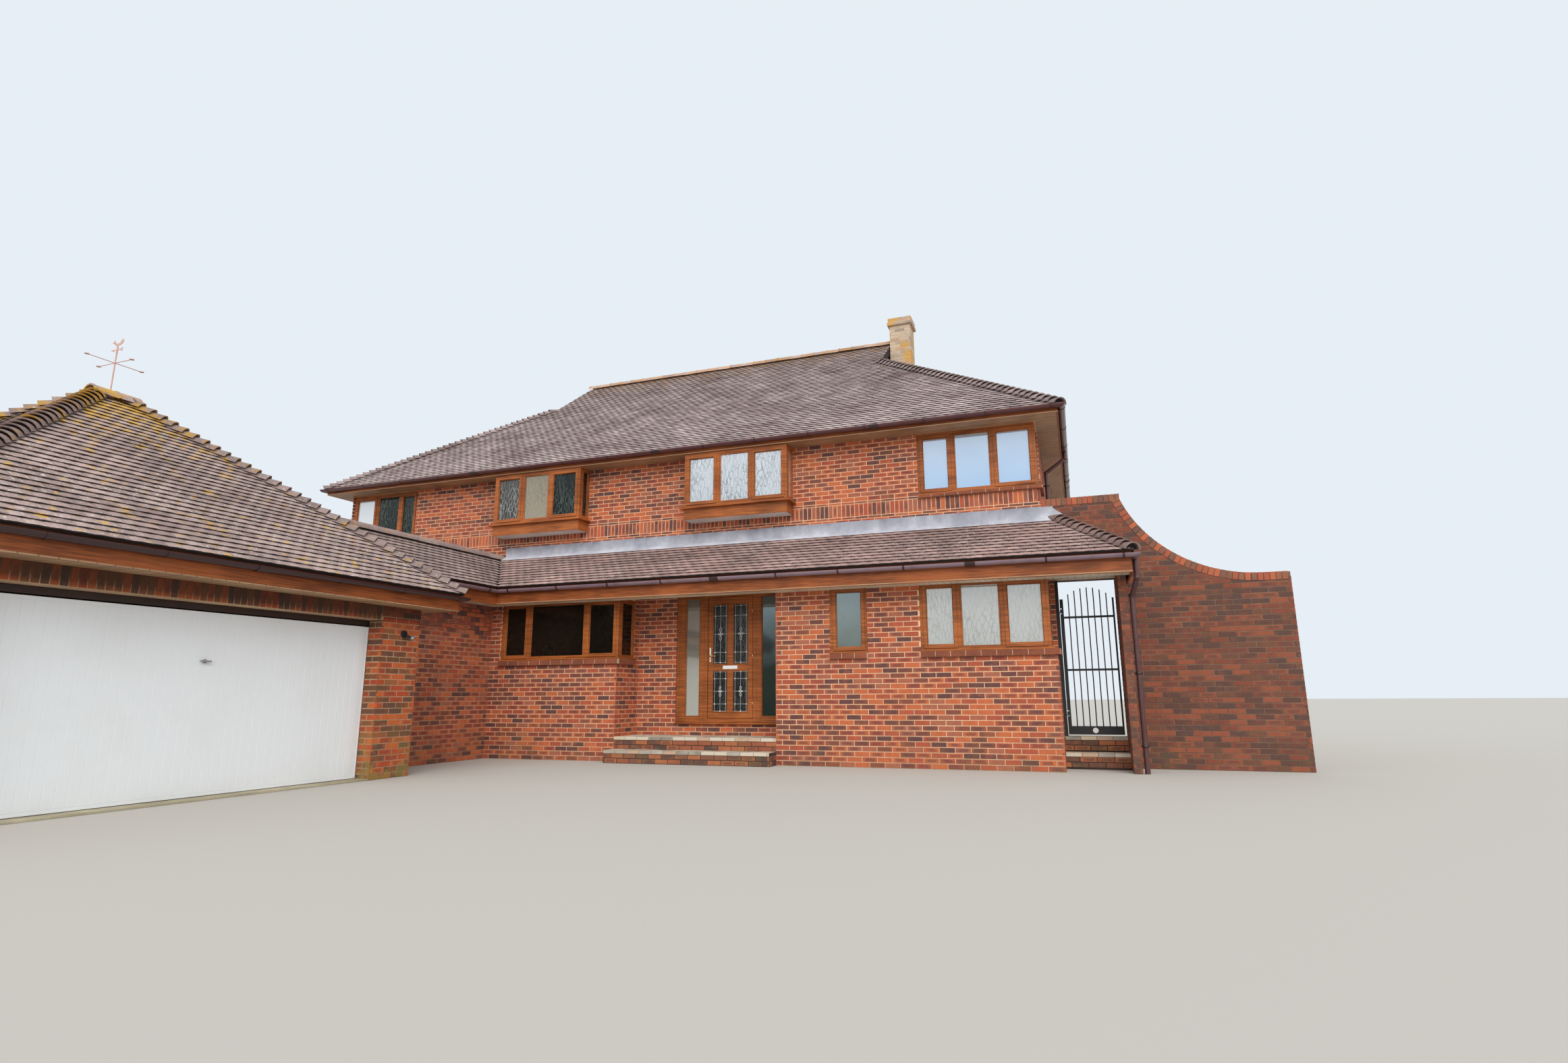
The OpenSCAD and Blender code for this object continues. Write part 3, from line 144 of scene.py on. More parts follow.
class Graph(Network):
    """One material's nodes, joined to its Principled shader."""

    def __init__(self, name: str) -> None:
        """Start an empty material with an output and a shader."""
        self.material = bpy.data.materials.new(name)
        self.material.use_nodes = True
        super().__init__(self.material.node_tree)
        self.tree.nodes.clear()
        self.shader = self.tree.nodes.new("ShaderNodeBsdfPrincipled")
        output = self.tree.nodes.new("ShaderNodeOutputMaterial")
        self.tree.links.new(self.shader.outputs["BSDF"], output.inputs["Surface"])
        self.place = self.node("ShaderNodeTexCoord", {}, "Object")

    def scaled(self, x: float, y: float, z: float) -> Socket:
        """Return Object coordinates multiplied along each axis."""
        return self.node("ShaderNodeMapping", {"Vector": self.place, "Scale": (x, y, z)}, "Vector")

    def noise(self, scale: float, detail: float = 3.0, rough: float = 0.55,
              place: Socket | None = None) -> Socket:
        """Return the value of a noise at a scale in waves per metre."""
        feeds = {"Vector": place or self.place, "Scale": scale, "Detail": detail, "Roughness": rough}
        return self.node("ShaderNodeTexNoise", feeds, "Fac")

    def ramp(self, value: Socket, stops: Sequence[tuple[float, Colour]],
             stepped: bool = False) -> Socket:
        """Return a colour from a value by stops, blended or stepped from one to the next."""
        colour = self.node("ShaderNodeValToRGB", {"Fac": value}, "Color")
        bar = colour.node.color_ramp
        if stepped:
            bar.interpolation = "CONSTANT"
        while len(bar.elements) < len(stops):
            bar.elements.new(0.5)
        for element, (position, tint) in zip(bar.elements, stops):
            element.position, element.color = position, tint
        return colour

    def span(self, value: Socket, low: float, high: float,
             out_low: float = 0.0, out_high: float = 1.0) -> Socket:
        """Return a value stretched from one range to another and clamped."""
        return self.node("ShaderNodeMapRange", {0: value, 1: low, 2: high, 3: out_low, 4: out_high}, "Result")

    def mix(self, share: Socket, first: object, second: object) -> Socket:
        """Return two colours mixed by a share."""
        return self.node("ShaderNodeMix", {0: share, 6: first, 7: second}, 2, data_type="RGBA")

    def sum(self, first: Socket, second: Socket | float,
            work: str = "ADD") -> Socket:
        """Return two values joined by a sum or another piece of arithmetic."""
        return self.node("ShaderNodeMath", {0: first, 1: second}, operation=work)

    def times(self, first: Socket, second: Socket | float) -> Socket:
        """Return the product of two values."""
        return self.sum(first, second, "MULTIPLY")

    def own(self, name: str) -> Socket:
        """Return a value that the mesh carries under this name."""
        return self.node("ShaderNodeAttribute", {}, "Fac", attribute_name=name)

    def axis(self, name: str) -> Socket:
        """Return one Object coordinate in metres."""
        return self.node("ShaderNodeSeparateXYZ", {0: self.place}, name)

    def height(self) -> Socket:
        """Return the height above the ground in metres."""
        return self.axis("Z")

    def second(self, value: Socket, factor: float) -> Socket:
        """Return a second random value drawn from a first."""
        return self.sum(self.times(value, factor), 1.0, "FRACT")

    def twigs(self, count: float, lean: float, width: float) -> Socket:
        """Return thin lines that rise at a lean and wander, so many to the metre of X."""
        rise = self.sum(self.axis("X"), self.times(self.height(), lean))
        wander = self.noise(3.0 + 2 * lean, 4.0, 0.6, self.scaled(1.0, 1.0, 0.4))
        bent = self.sum(self.times(rise, count), self.times(wander, 6.0))
        off = self.sum(self.sum(self.sum(bent, 1.0, "FRACT"), 0.5, "SUBTRACT"), 0.0, "ABSOLUTE")
        return self.span(off, 0.0, width, 1.0, 0.0)

    def bump(self, value: Socket, distance: float, strength: float = 1.0) -> None:
        """Raise the surface by a value, at most by a distance in metres."""
        feeds = {"Height": value, "Distance": distance, "Strength": strength}
        self.tree.links.new(self.node("ShaderNodeBump", feeds, "Normal"), self.shader.inputs["Normal"])

    def done(self, colour: object, rough: float, **values: float) -> Material:
        """Set the shader's inputs, named with _ for a space, and return the material."""
        more = {key.replace("_", " "): value for key, value in values.items()}
        self.feed(self.shader, {"Base Color": colour, "Roughness": rough, **more})
        return self.material

@dataclass(frozen=True)
class Brick:
    """Multi-stock bricks from orange through red to purple brown, many with a burnt heart, and with painted
    shade above a given height.
    """

    name: str = "brick"
    orange: Colour = paint(198, 104, 62)
    red: Colour = paint(174, 82, 56)
    dull: Colour = paint(168, 100, 76)
    brown: Colour = paint(126, 72, 56)
    purple: Colour = paint(88, 58, 58)
    moss: Colour = paint(140, 126, 62)
    moss_share: float = 0.1
    burnt_share: float = 0.62
    moss_top: float = 0.8
    # Height in metres above which the bricks carry painted shade; the default lies above the house.
    shaded_above: float = 20.0

    def build(self) -> Material:
        """Return the material, which reads each brick's own tone and how near its heart a point lies."""
        g = Graph(self.name)
        tone, grain = g.own("tone"), g.noise(150.0, 2.0, 0.7)
        base = g.ramp(tone, ((0.0, self.orange), (0.3, self.red), (0.52, self.dull), (0.7, self.brown),
                             (0.89, self.purple)), True)
        base = g.mix(g.span(g.noise(11.0, 4.0, 0.6), 0.35, 0.7, 0.0, 0.35), base, self.brown)
        base = g.mix(g.span(g.noise(7.0, 3.0), 0.5, 0.75, 0.0, 0.5), base, self.orange)
        heart = g.span(g.sum(g.own("core"), g.times(g.noise(24.0, 3.0), 0.9)), 0.62, 0.95)
        chosen = g.span(g.second(tone, 9.37), 0.42, 0.5)
        base = g.mix(g.times(g.times(heart, chosen), self.burnt_share), base, self.purple)
        base = g.mix(g.span(grain, 0.4, 0.75, 0.0, 0.28), base, self.brown)
        low = g.times(g.span(g.height(), self.moss_top - 0.75, self.moss_top, 1.0, 0.0),
                      g.span(g.noise(3.4, 5.0), 0.5, 0.58))
        base = g.mix(g.times(low, self.moss_share), base, self.moss)
        # Painted shade: above a given height the bricks darken towards near black, standing in for the shade
        # under the garage's eaves.
        base = g.mix(g.span(g.height(), self.shaded_above - 0.05, self.shaded_above + 0.05, 0.0, 0.7), base,
                     paint(30, 16, 12))
        g.bump(grain, 0.002, 0.5)
        return g.done(base, 0.85)


@dataclass(frozen=True)
class Mineral:
    """A speckled matt mineral surface such as mortar, concrete or render, with dirt near the ground and
    painted shade above a given height.
    """

    name: str
    light: Colour
    dark: Colour
    scale: float = 60.0
    rough: float = 0.92
    dirt: Colour = paint(84, 78, 58)
    dirt_top: float = 0.6
    # Height in metres above which the mortar carries painted shade; the default lies above the house.
    shaded_above: float = 20.0

    def build(self) -> Material:
        """Return the material."""
        g = Graph(self.name)
        fine, broad = g.noise(self.scale, 4.0, 0.65), g.noise(1.7, 5.0)
        base = g.mix(g.span(g.sum(fine, broad), 0.75, 1.25), self.light, self.dark)
        base = g.mix(g.times(g.span(g.height(), 0.0, self.dirt_top, 0.7, 0.0), broad), base, self.dirt)
        # Painted shade: above a given height the mortar darkens towards near black, standing in for the shade
        # under the garage's eaves.
        base = g.mix(g.span(g.height(), self.shaded_above, self.shaded_above + 0.1, 0.0, 0.85), base, paint(40, 22, 16))
        g.bump(fine, 0.0015, 0.5)
        return g.done(base, self.rough)


@dataclass(frozen=True)
class Tile:
    """Weathered clay tiles, dark at their tails with painted shade, with pale crust and lichen."""

    name: str
    light: Colour = paint(210, 191, 188)
    dark: Colour = paint(138, 118, 116)
    # The tail colour is painted shade at the tiles' tails and in the bonnets' hollows; the soot patches take
    # it too.
    tail: Colour = paint(34, 26, 26)
    crust: Colour = paint(216, 210, 204)
    lichen: Colour = paint(190, 136, 44)
    crust_share: float = 0.5
    soot_share: float = 0.35
    lichen_low: float = 7.9
    lichen_high: float = 9.0
    lichen_share: float = 0.5
    lichen_least: float = 0.0

    def build(self) -> Material:
        """Return the material, which reads each tile's own tone and the shade of its tail."""
        g = Graph(self.name)
        value = g.sum(g.times(g.own("tone"), 0.45), g.span(g.noise(1.3, 4.0), 0.3, 0.7, 0.0, 0.55))
        base = g.ramp(value, ((0.1, self.dark), (0.55, blend(self.dark, self.light)), (0.95, self.light)))
        base = g.mix(g.span(g.noise(2.6, 5.0, 0.65), 0.5, 0.72, 0.0, self.soot_share), base, self.tail)
        spots = g.times(g.span(g.noise(30.0, 3.0, 0.65), 0.56, 0.66), g.span(g.noise(1.1, 3.0), 0.42, 0.6))
        base = g.mix(g.times(spots, self.crust_share), base, self.crust)
        up = g.span(g.height(), self.lichen_low, self.lichen_high, self.lichen_least, 1.0)
        growth = g.span(g.sum(g.noise(7.0, 5.0, 0.65), g.times(up, 0.26)), 0.66, 0.74)
        base = g.mix(g.times(growth, self.lichen_share), base, self.lichen)
        # Painted shade: the edge value that each unit carries darkens its tail, sides and hollow towards the
        # tail colour.
        base = g.mix(g.own("edge"), base, self.tail)
        g.bump(g.noise(110.0, 3.0, 0.7), 0.002, 0.6)
        return g.done(base, 0.9)


def blend(first: Colour, second: Colour) -> Colour:
    """Return the colour half-way between two."""
    return tuple((a + b) / 2 for a, b in zip(first, second))  # type: ignore[return-value]


class Grain(Enum):
    """The way that the figure of a board runs."""

    ALONG = "along"
    UP = "up"


@dataclass(frozen=True)
class Oak:
    """Golden oak boards and frames with streaks of darker grain."""

    name: str
    light: Colour
    dark: Colour
    grain: Grain
    rough: float

    def build(self) -> Material:
        """Return the material, with its grain level or upright."""
        g = Graph(self.name)
        place = g.scaled(2.2, 2.2, 60.0) if self.grain is Grain.ALONG else g.scaled(60.0, 60.0, 2.2)
        streak = g.noise(1.0, 4.0, 0.6, place)
        base = g.ramp(g.sum(streak, g.span(g.noise(1.6, 2.0), 0.3, 0.7, -0.12, 0.12)),
                      ((0.36, self.dark), (0.5, blend(self.dark, self.light)), (0.62, self.light)))
        g.bump(streak, 0.0006, 0.4)
        return g.done(base, self.rough, Specular_IOR_Level=0.3)


@dataclass(frozen=True)
class Smooth:
    """A smooth painted, moulded or metal surface with faint dirt."""

    name: str
    colour: Colour
    soiled: Colour
    rough: float = 0.35
    metal: float = 0.0
    scale: float = 5.0
    share: float = 0.5

    def build(self) -> Material:
        """Return the material."""
        g = Graph(self.name)
        cloud = g.noise(self.scale, 5.0, 0.6)
        base = g.mix(g.span(cloud, 0.45, 0.8, 0.0, self.share), self.colour, self.soiled)
        g.bump(g.noise(self.scale * 12, 2.0), 0.0004, 0.3)
        return g.done(base, self.rough, Metallic=self.metal)


@dataclass(frozen=True)
class Lead:
    """Sheet lead, dull, with painted light that makes its sloped apron pale and painted shade that makes it
    dark up the wall, and streaks that run down it.
    """

    name: str = "lead_sheet"
    pale: Colour = paint(198, 200, 210)
    middle: Colour = paint(164, 166, 177)
    dark: Colour = paint(122, 124, 136)

    def build(self) -> Material:
        """Return the material."""
        g = Graph(self.name)
        run = g.span(g.noise(1.0, 4.0, 0.6, g.scaled(3.0, 1.0, 1.0)), 0.3, 0.7, -0.15, 0.2)
        # Painted light and shade: paler on the sloped apron, darker up the wall, by height.
        value = g.sum(g.sum(g.span(g.height(), 3.6, 3.86, 0.1, 0.6), run),
                      g.span(g.noise(4.0, 5.0), 0.3, 0.7, -0.2, 0.2))
        base = g.ramp(value, ((0.05, self.pale), (0.4, self.middle), (0.85, self.dark)))
        g.bump(g.noise(5.0, 3.0), 0.004, 0.3)
        return g.done(base, 0.55)


@dataclass(frozen=True)
class Pane:
    """Window glass with painted reflections of sky and branches, window by window along the front.

    Each view holds the place along X from which it counts, the painted reflection's colour at the head,
    its colour at the foot, the colour of the reflected branches and their share. Panes behind the front
    walls take the first view.
    """

    name: str
    views: Sequence[tuple[float, Colour, Colour, Colour, float]]
    foot: float
    head: float
    rough: float = 0.06
    ripple: float = 0.0
    reach: float = 8.0
    behind: Span = (1.3, 1.4)

    def build(self) -> Material:
        """Return the material, rippled where the glass is obscured."""
        g = Graph(self.name)
        front = g.span(g.axis("Y"), *self.behind, 1.0, 0.0)
        along = g.times(g.span(g.axis("X"), -self.reach, self.reach), front)
        places = [(view[0] + self.reach) / (2 * self.reach) for view in self.views]
        picks = ([(p, v[k]) for p, v in zip(places, self.views)] for k in (1, 2, 3))
        # Painted reflections: each view's head, foot and branch colours stand in for the sky, ground and
        # branches mirrored in the glass.
        head, foot, twig = (g.ramp(along, stops, True) for stops in picks)
        share = g.ramp(along, [(p, (v[4], v[4], v[4], 1.0)) for p, v in zip(places, self.views)], True)
        base = g.mix(g.span(g.sum(g.height(), g.noise(0.9, 3.0)), self.foot + 0.3, self.head + 0.7), foot,
                     head)
        # Painted reflections of branches as thin wandering lines.
        lines = g.sum(g.twigs(13.0, 0.3, 0.14), g.twigs(16.0, -0.25, 0.14), "MAXIMUM")
        lines = g.sum(lines, g.twigs(4.0, 0.1, 0.07), "MAXIMUM")
        clump = g.span(g.noise(1.5, 4.0), 0.35, 0.6, 0.25, 1.0)
        base = g.mix(g.times(g.times(lines, clump), share), base, twig)
        if self.ripple:
            g.bump(g.noise(55.0, 2.0, 0.5), self.ripple, 0.8)
        return g.done(base, self.rough, Metallic=0.6, IOR=1.5)


@dataclass(frozen=True)
class Moulded:
    """Moulded gutter plastic, darker or paler by height with a painted reflection of the sky at the lean-to's
    height, and the dull gloss of an old surface.
    """

    name: str = "gutter_plastic"
    garage: Colour = paint(58, 34, 36)
    # Painted reflection of the sky on the lean-to's gutters.
    middle: Colour = paint(134, 112, 122)
    main: Colour = paint(88, 52, 54)

    def build(self) -> Material:
        """Return the material."""
        g = Graph(self.name)
        # By height: dark at the garage, the pale painted reflection of the sky at the lean-to, brown at the
        # main roof.
        base = g.ramp(g.span(g.height(), 0.0, 8.0),
                      ((0.0, self.garage), (0.325, self.middle), (0.5, self.main)), True)
        return g.done(g.mix(g.span(g.noise(4.0, 5.0), 0.5, 0.75, 0.0, 0.35), base, self.garage), 0.3)


@dataclass(frozen=True)
class Boarding:
    """Painted or stained boards laid side by side along X or Y, with dark joints between them."""

    name: str
    light: Colour
    dark: Colour
    width: float = 0.1
    across: str = "X"

    def build(self) -> Material:
        """Return the material."""
        g = Graph(self.name)
        streak = g.noise(1.0, 4.0, 0.6, g.scaled(2.0, 2.0, 2.0))
        base = g.mix(g.span(streak, 0.35, 0.7), self.light, blend(self.light, self.dark))
        joint = g.span(g.second(g.axis(self.across), 1.0 / self.width), 0.05, 0.09, 0.85, 0.0)
        return g.done(g.mix(joint, base, self.dark), 0.55)


class Palette:
    """Every finish of the house, built once and kept by name."""

    def __init__(self) -> None:
        """Build the materials."""
        grey, none = paint(120, 120, 116), paint(0, 0, 0)
        woods = (("oak", paint(174, 100, 50), paint(124, 68, 32), 0.42),
                 ("board", paint(162, 88, 44), paint(114, 60, 30), 0.5))
        finishes = (
            Brick(),
            # The garage's bricks carry painted shade from the soldier course over the door up to the eaves.
            Brick("garage_brick", paint(204, 100, 46), paint(186, 74, 38), paint(150, 92, 54),
                  paint(112, 74, 50), paint(96, 70, 58), paint(158, 146, 62), 0.4, 0.5, shaded_above=2.06),
            Brick("screen_brick", paint(150, 80, 54), paint(130, 67, 48), paint(112, 72, 54),
                  paint(92, 60, 50), paint(86, 62, 56)),
            Brick("stack_brick", paint(202, 180, 158), paint(190, 146, 122), paint(186, 170, 152),
                  paint(170, 154, 138), paint(146, 134, 122), paint(206, 154, 52), 0.8, 0.3, 12.0),
            Brick("step_brick", paint(176, 104, 66), paint(154, 86, 58), paint(130, 82, 62),
                  paint(106, 72, 58), paint(78, 60, 54), moss_share=0.15),
            Brick("coping_brick", paint(190, 100, 64), paint(170, 84, 58), paint(150, 92, 66),
                  paint(124, 84, 66), paint(104, 74, 64), moss_share=0.0, burnt_share=0.2),
            Brick("paving", paint(206, 196, 180), paint(186, 150, 128), paint(160, 154, 144),
                  paint(200, 186, 160), paint(120, 116, 110), moss_share=0.0, burnt_share=0.2),
            Mineral("mortar", paint(232, 196, 160), paint(206, 166, 130)),
            # Painted shade on the garage's mortar above 2.05 m, under its eaves.
            Mineral("garage_mortar", paint(204, 170, 136), paint(150, 120, 92), shaded_above=2.05),
            Mineral("screen_mortar", paint(132, 110, 90), paint(84, 66, 54)),
            Mineral("step_mortar", paint(70, 50, 42), paint(38, 28, 26), dirt_top=0.0),
            Mineral("stack_mortar", paint(200, 176, 146), paint(170, 146, 116)),
            Mineral("concrete", paint(214, 204, 176), paint(178, 166, 138)),
            Tile("main_tile"),
            Tile("leanto_tile", paint(190, 156, 148), paint(134, 108, 104), lichen_low=3.3, lichen_share=0.2,
                 crust_share=0.75, soot_share=0.5),
            Tile("link_tile", paint(176, 154, 148), paint(126, 106, 102), lichen_low=3.4, lichen_high=4.2),
            Tile("garage_tile", paint(190, 166, 160), paint(134, 114, 110), lichen=paint(204, 158, 54),
                 lichen_low=3.7, lichen_high=4.8, lichen_share=0.85, lichen_least=0.3, crust_share=0.9,
                 soot_share=0.5),
            Mineral("roof_bed", paint(46, 38, 36), paint(30, 26, 26), dirt_top=0.0),
            Mineral("sill_tile", paint(158, 88, 60), paint(104, 58, 44)),
            Mineral("sill_joint", paint(214, 200, 172), paint(176, 160, 130), dirt_top=0.0),
            *(Oak(f"{wood}_{grain.value}", light, dark, grain, rough)
              for wood, light, dark, rough in woods for grain in Grain),
            Boarding("soffit_board", paint(178, 142, 106), paint(96, 70, 50), 0.15, "Y"),
            Boarding("cream_board", paint(232, 222, 200), paint(150, 138, 116)),
            Boarding("white_board", paint(226, 222, 214), paint(150, 148, 142)),
            Moulded(),
            Smooth("pipe_brown", paint(76, 46, 48), paint(108, 80, 80), 0.3),
            Smooth("gutter_dark", paint(52, 34, 36), paint(74, 56, 56), 0.35),
            Lead(),
            Pane("upper_pane", (
                (-8.0, paint(236, 240, 244), paint(228, 232, 236), grey, 0.05),
                (-6.35, paint(44, 52, 50), paint(28, 36, 34), paint(124, 136, 124), 0.5),
                (-3.15, paint(88, 88, 84), paint(58, 58, 56), paint(196, 198, 196), 0.6),
                (-2.42, paint(150, 142, 126), paint(172, 162, 142), paint(96, 94, 86), 0.45),
                (-1.80, paint(32, 38, 40), paint(24, 32, 32), paint(116, 128, 118), 0.5),
                (0.0, paint(224, 230, 236), paint(206, 214, 220), paint(84, 88, 90), 0.75),
                (3.0, paint(216, 230, 246), paint(176, 208, 242), none, 0.0)), 4.2, 5.24),
            Pane("lower_pane", (
                (-8.0, paint(60, 62, 56), paint(40, 42, 38), grey, 0.2),
                (-2.5, paint(46, 40, 32), paint(30, 27, 24), paint(92, 86, 70), 0.2),
                (0.8, paint(140, 144, 138), paint(184, 184, 174), none, 0.0),
                (2.0, paint(142, 162, 166), paint(32, 44, 36), none, 0.0),
                (3.0, paint(160, 176, 180), paint(92, 100, 88), grey, 0.15),
                (5.0, paint(212, 214, 212), paint(188, 190, 184), paint(104, 106, 94), 0.4)), 1.65, 2.67),
            Pane("door_pane", ((-8.0, paint(52, 56, 56), paint(28, 32, 34), paint(140, 146, 146), 0.3),),
                 0.7, 2.6, 0.1, 0.004),
            Smooth("iron", paint(26, 27, 28), paint(52, 46, 40), 0.45, share=0.3),
            Smooth("brown_frame", paint(46, 30, 26), paint(70, 48, 38), 0.5),
            Smooth("door_white", paint(238, 243, 247), paint(222, 224, 220), 0.32, share=0.3, scale=1.5),
            Smooth("bright_white", paint(246, 246, 246), paint(226, 226, 222), 0.3, share=0.2),
            Smooth("steel", paint(170, 172, 174), paint(124, 122, 118), 0.4, 0.7),
            Smooth("lead_came", paint(206, 206, 204), paint(150, 150, 148), 0.35, 0.4, 20.0),
            Smooth("brass", paint(222, 190, 128), paint(160, 122, 62), 0.25, 0.8, 20.0),
            Smooth("vane_red", paint(204, 166, 156), paint(176, 132, 120), 0.6, 0.0, 20.0),
        )
        self.kept = {finish.name: finish.build() for finish in finishes}
        self.oak = (self.kept["oak_along"], self.kept["oak_up"])

    def __getitem__(self, name: str) -> Material:
        """Return one finish by its name."""
        return self.kept[name]


# Meshes


def keep_piece(name: str, mesh: bpy.types.Mesh, body: str) -> bpy.types.Object:
    """Put a finished mesh in the scene as a piece that rides on a body.

    Args:
        name: The piece's name.
        mesh: Its mesh, already in place.
        body: The body that carries it.

    Returns:
        The new object.
    """
    piece = bpy.data.objects.new(name, mesh)
    bpy.context.scene.collection.objects.link(piece)
    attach(piece, body)
    LOG.info("%s: %d faces on %s", name, len(mesh.polygons), body)
    return piece


@dataclass
class Shape:
    """A mesh under construction from boxes, profiles and lathed forms, in millimetres."""

    name: str
    materials: Sequence[Material]
    mesh: bmesh.types.BMesh = field(default_factory=bmesh.new)

    def box(self, low: Point, high: Point, index: int = 0, bevel: float = 0.0) -> None:
        """Add a box between two corners, with its edges eased by a bevel."""
        centre = [(a + b) / 2 * MM for a, b in zip(low, high)]
        size = [abs(b - a) * MM for a, b in zip(low, high)]
        place = Matrix.Translation(centre) @ Matrix.Diagonal((*size, 1))
        verts = bmesh.ops.create_cube(self.mesh, size=1.0, matrix=place)["verts"]
        faces = {f for v in verts for f in v.link_faces}
        if bevel:
            edges = list({e for v in verts for e in v.link_edges})
            new = bmesh.ops.bevel(self.mesh, geom=edges, offset=bevel * MM, segments=1, affect="EDGES")
            faces = {f for f in faces if f.is_valid} | set(new["faces"])
        for f in faces:
            f.material_index = index

    def ring(self, low: Point, high: Point, width: float, bevel: float) -> None:
        """Add four beads round a rectangle that faces the front, its uprights in the second material."""
        (x0, y0, z0), (x1, y1, z1) = low, high
        for a, b in ((x0, x0 + width), (x1 - width, x1)):
            self.box((a, y0, z0), (b, y1, z1), 1, bevel)
        for a, b in ((z0, z0 + width), (z1 - width, z1)):
            self.box((x0 + width, y0, a), (x1 - width, y1, b), 0, bevel)

    def prism(self, outline: Sequence[Span], xs: Span) -> None:
        """Add a plate whose outline is given by its corners' Y and Z, between two places along X."""
        near, far = ([self.mesh.verts.new(Vector((x * MM, y * MM, z * MM))) for y, z in outline] for x in xs)
        self.mesh.faces.new(near[::-1])
        self.mesh.faces.new(far)
        for i, j in zip(range(len(outline)), (*range(1, len(outline)), 0)):
            self.mesh.faces.new((near[i], near[j], far[j], far[i]))

    def rod(self, start: Point, end: Point, radius: float, sides: int = 12, index: int = 0,
            end_radius: float | None = None) -> None:
        """Add a round bar from one point to another."""
        a, b = Vector(start) * MM, Vector(end) * MM
        turn = (b - a).to_track_quat("Z", "Y").to_matrix().to_4x4()
        last = radius if end_radius is None else end_radius
        made = bmesh.ops.create_cone(
            self.mesh, cap_ends=True, segments=sides, radius1=radius * MM, radius2=last * MM,
            depth=(b - a).length, matrix=Matrix.Translation((a + b) / 2) @ turn)
        for f in {f for v in made["verts"] for f in v.link_faces}:
            f.material_index = index
            f.smooth = len(f.verts) == 4

    def end(self, body: str, slot: str) -> bpy.types.Object:
        """Turn the faces outwards and keep the piece."""
        bmesh.ops.recalc_face_normals(self.mesh, faces=self.mesh.faces)
        mesh = bpy.data.meshes.new(self.name)
        self.mesh.to_mesh(mesh)
        self.mesh.free()
        for material in self.materials:
            mesh.materials.append(material)
        return keep_piece(self.name, mesh, body)


def unit_mesh(name: str, verts: Sequence[Point], faces: Sequence[Sequence[int]], layer: str = "",
              values: Sequence[float] = ()) -> bpy.types.Object:
    """Return a hidden object that a tree lays many times over.

    Args:
        name: The unit's name.
        verts: Its corners.
        faces: The corners of each face.
        layer: A value that its finish reads, if it has one.
        values: That value at each corner.

    Returns:
        The unit, outside the scene.
    """
    mesh = bpy.data.meshes.new(name)
    mesh.from_pydata([Vector(v) for v in verts], [], [list(f) for f in faces])
    if layer:
        mesh.attributes.new(layer, "FLOAT", "POINT").data.foreach_set("value", list(values))
    return bpy.data.objects.new(name, mesh)


def brick_unit() -> bpy.types.Object:
    """Return one brick of unit size, its face at -Y, with eased face edges and an open back.

    The value core is one at the middle of the face and nought at its edges.
    """
    a, b = 0.5 - 0.012, 0.5 - 0.045
    verts = [(-a, -0.5, -b), (a, -0.5, -b), (a, -0.5, b), (-a, -0.5, b),
             (-0.5, -0.42, -0.5), (0.5, -0.42, -0.5), (0.5, -0.42, 0.5), (-0.5, -0.42, 0.5),
             (-0.5, 0.5, -0.5), (0.5, 0.5, -0.5), (0.5, 0.5, 0.5), (-0.5, 0.5, 0.5), (0.0, -0.5, 0.0)]
    faces: list[tuple[int, ...]] = []
    for i in range(4):
        j = (i + 1) % 4
        faces += [(i, j, 12), (i + 4, j + 4, j, i), (i + 8, j + 8, j + 4, i + 4)]
    return unit_mesh("brick_unit", verts, faces, "core", [0.0] * 12 + [1.0])


def block_unit() -> bpy.types.Object:
    """Return a closed block of unit size."""
    ends = (-0.5, 0.5)
    faces = [(0, 1, 3, 2), (4, 6, 7, 5), (0, 4, 5, 1), (2, 3, 7, 6), (0, 2, 6, 4), (1, 5, 7, 3)]
    return unit_mesh("block_unit", [(x, y, z) for x in ends for y in ends for z in ends], faces, "core",
                     [0.0] * 8)


def sill_unit() -> bpy.types.Object:
    """Return one sill tile of unit size along X, its front at -Y and its top front edge rounded."""
    side = [(-0.5, -0.5), (-0.5, 0.36), (-0.475, 0.46), (-0.445, 0.5), (0.5, 0.5), (0.5, -0.5)]
    verts = [(x, y, z) for x in (-0.5, 0.5) for y, z in side]
    faces = [(i + 6, i + 7, i + 1, i) for i in range(5)]
    faces += [(11, 6, 0, 5), tuple(range(6)), tuple(range(11, 5, -1))]
    return unit_mesh("sill_unit", verts, faces)


def tile_unit() -> bpy.types.Object:
    """Return one plain tile of unit width and length, its arched tail at y = 0, with a cambered top."""
    rim = [(-0.5, 0, 0.82), (0, 0, 1.0), (0.5, 0, 0.82)]
    verts = [*rim, (-0.5, 1, 0.12), (0, 1, 0.28), (0.5, 1, 0.12),
             *rim, (-0.5, 0, 0.1), (0, 0, 0.34), (0.5, 0, 0.1), (-0.5, 1, -0.1), (0.5, 1, -0.1)]
    faces = [(0, 1, 4, 3), (1, 2, 5, 4), (9, 10, 7, 6), (10, 11, 8, 7), (9, 6, 3, 12), (11, 13, 5, 8)]
    # The edge value of 0.92 on the tail and underside corners paints their shade.
    return unit_mesh("tile_unit", verts, faces, "edge", [0.0] * 6 + [0.92] * 8)


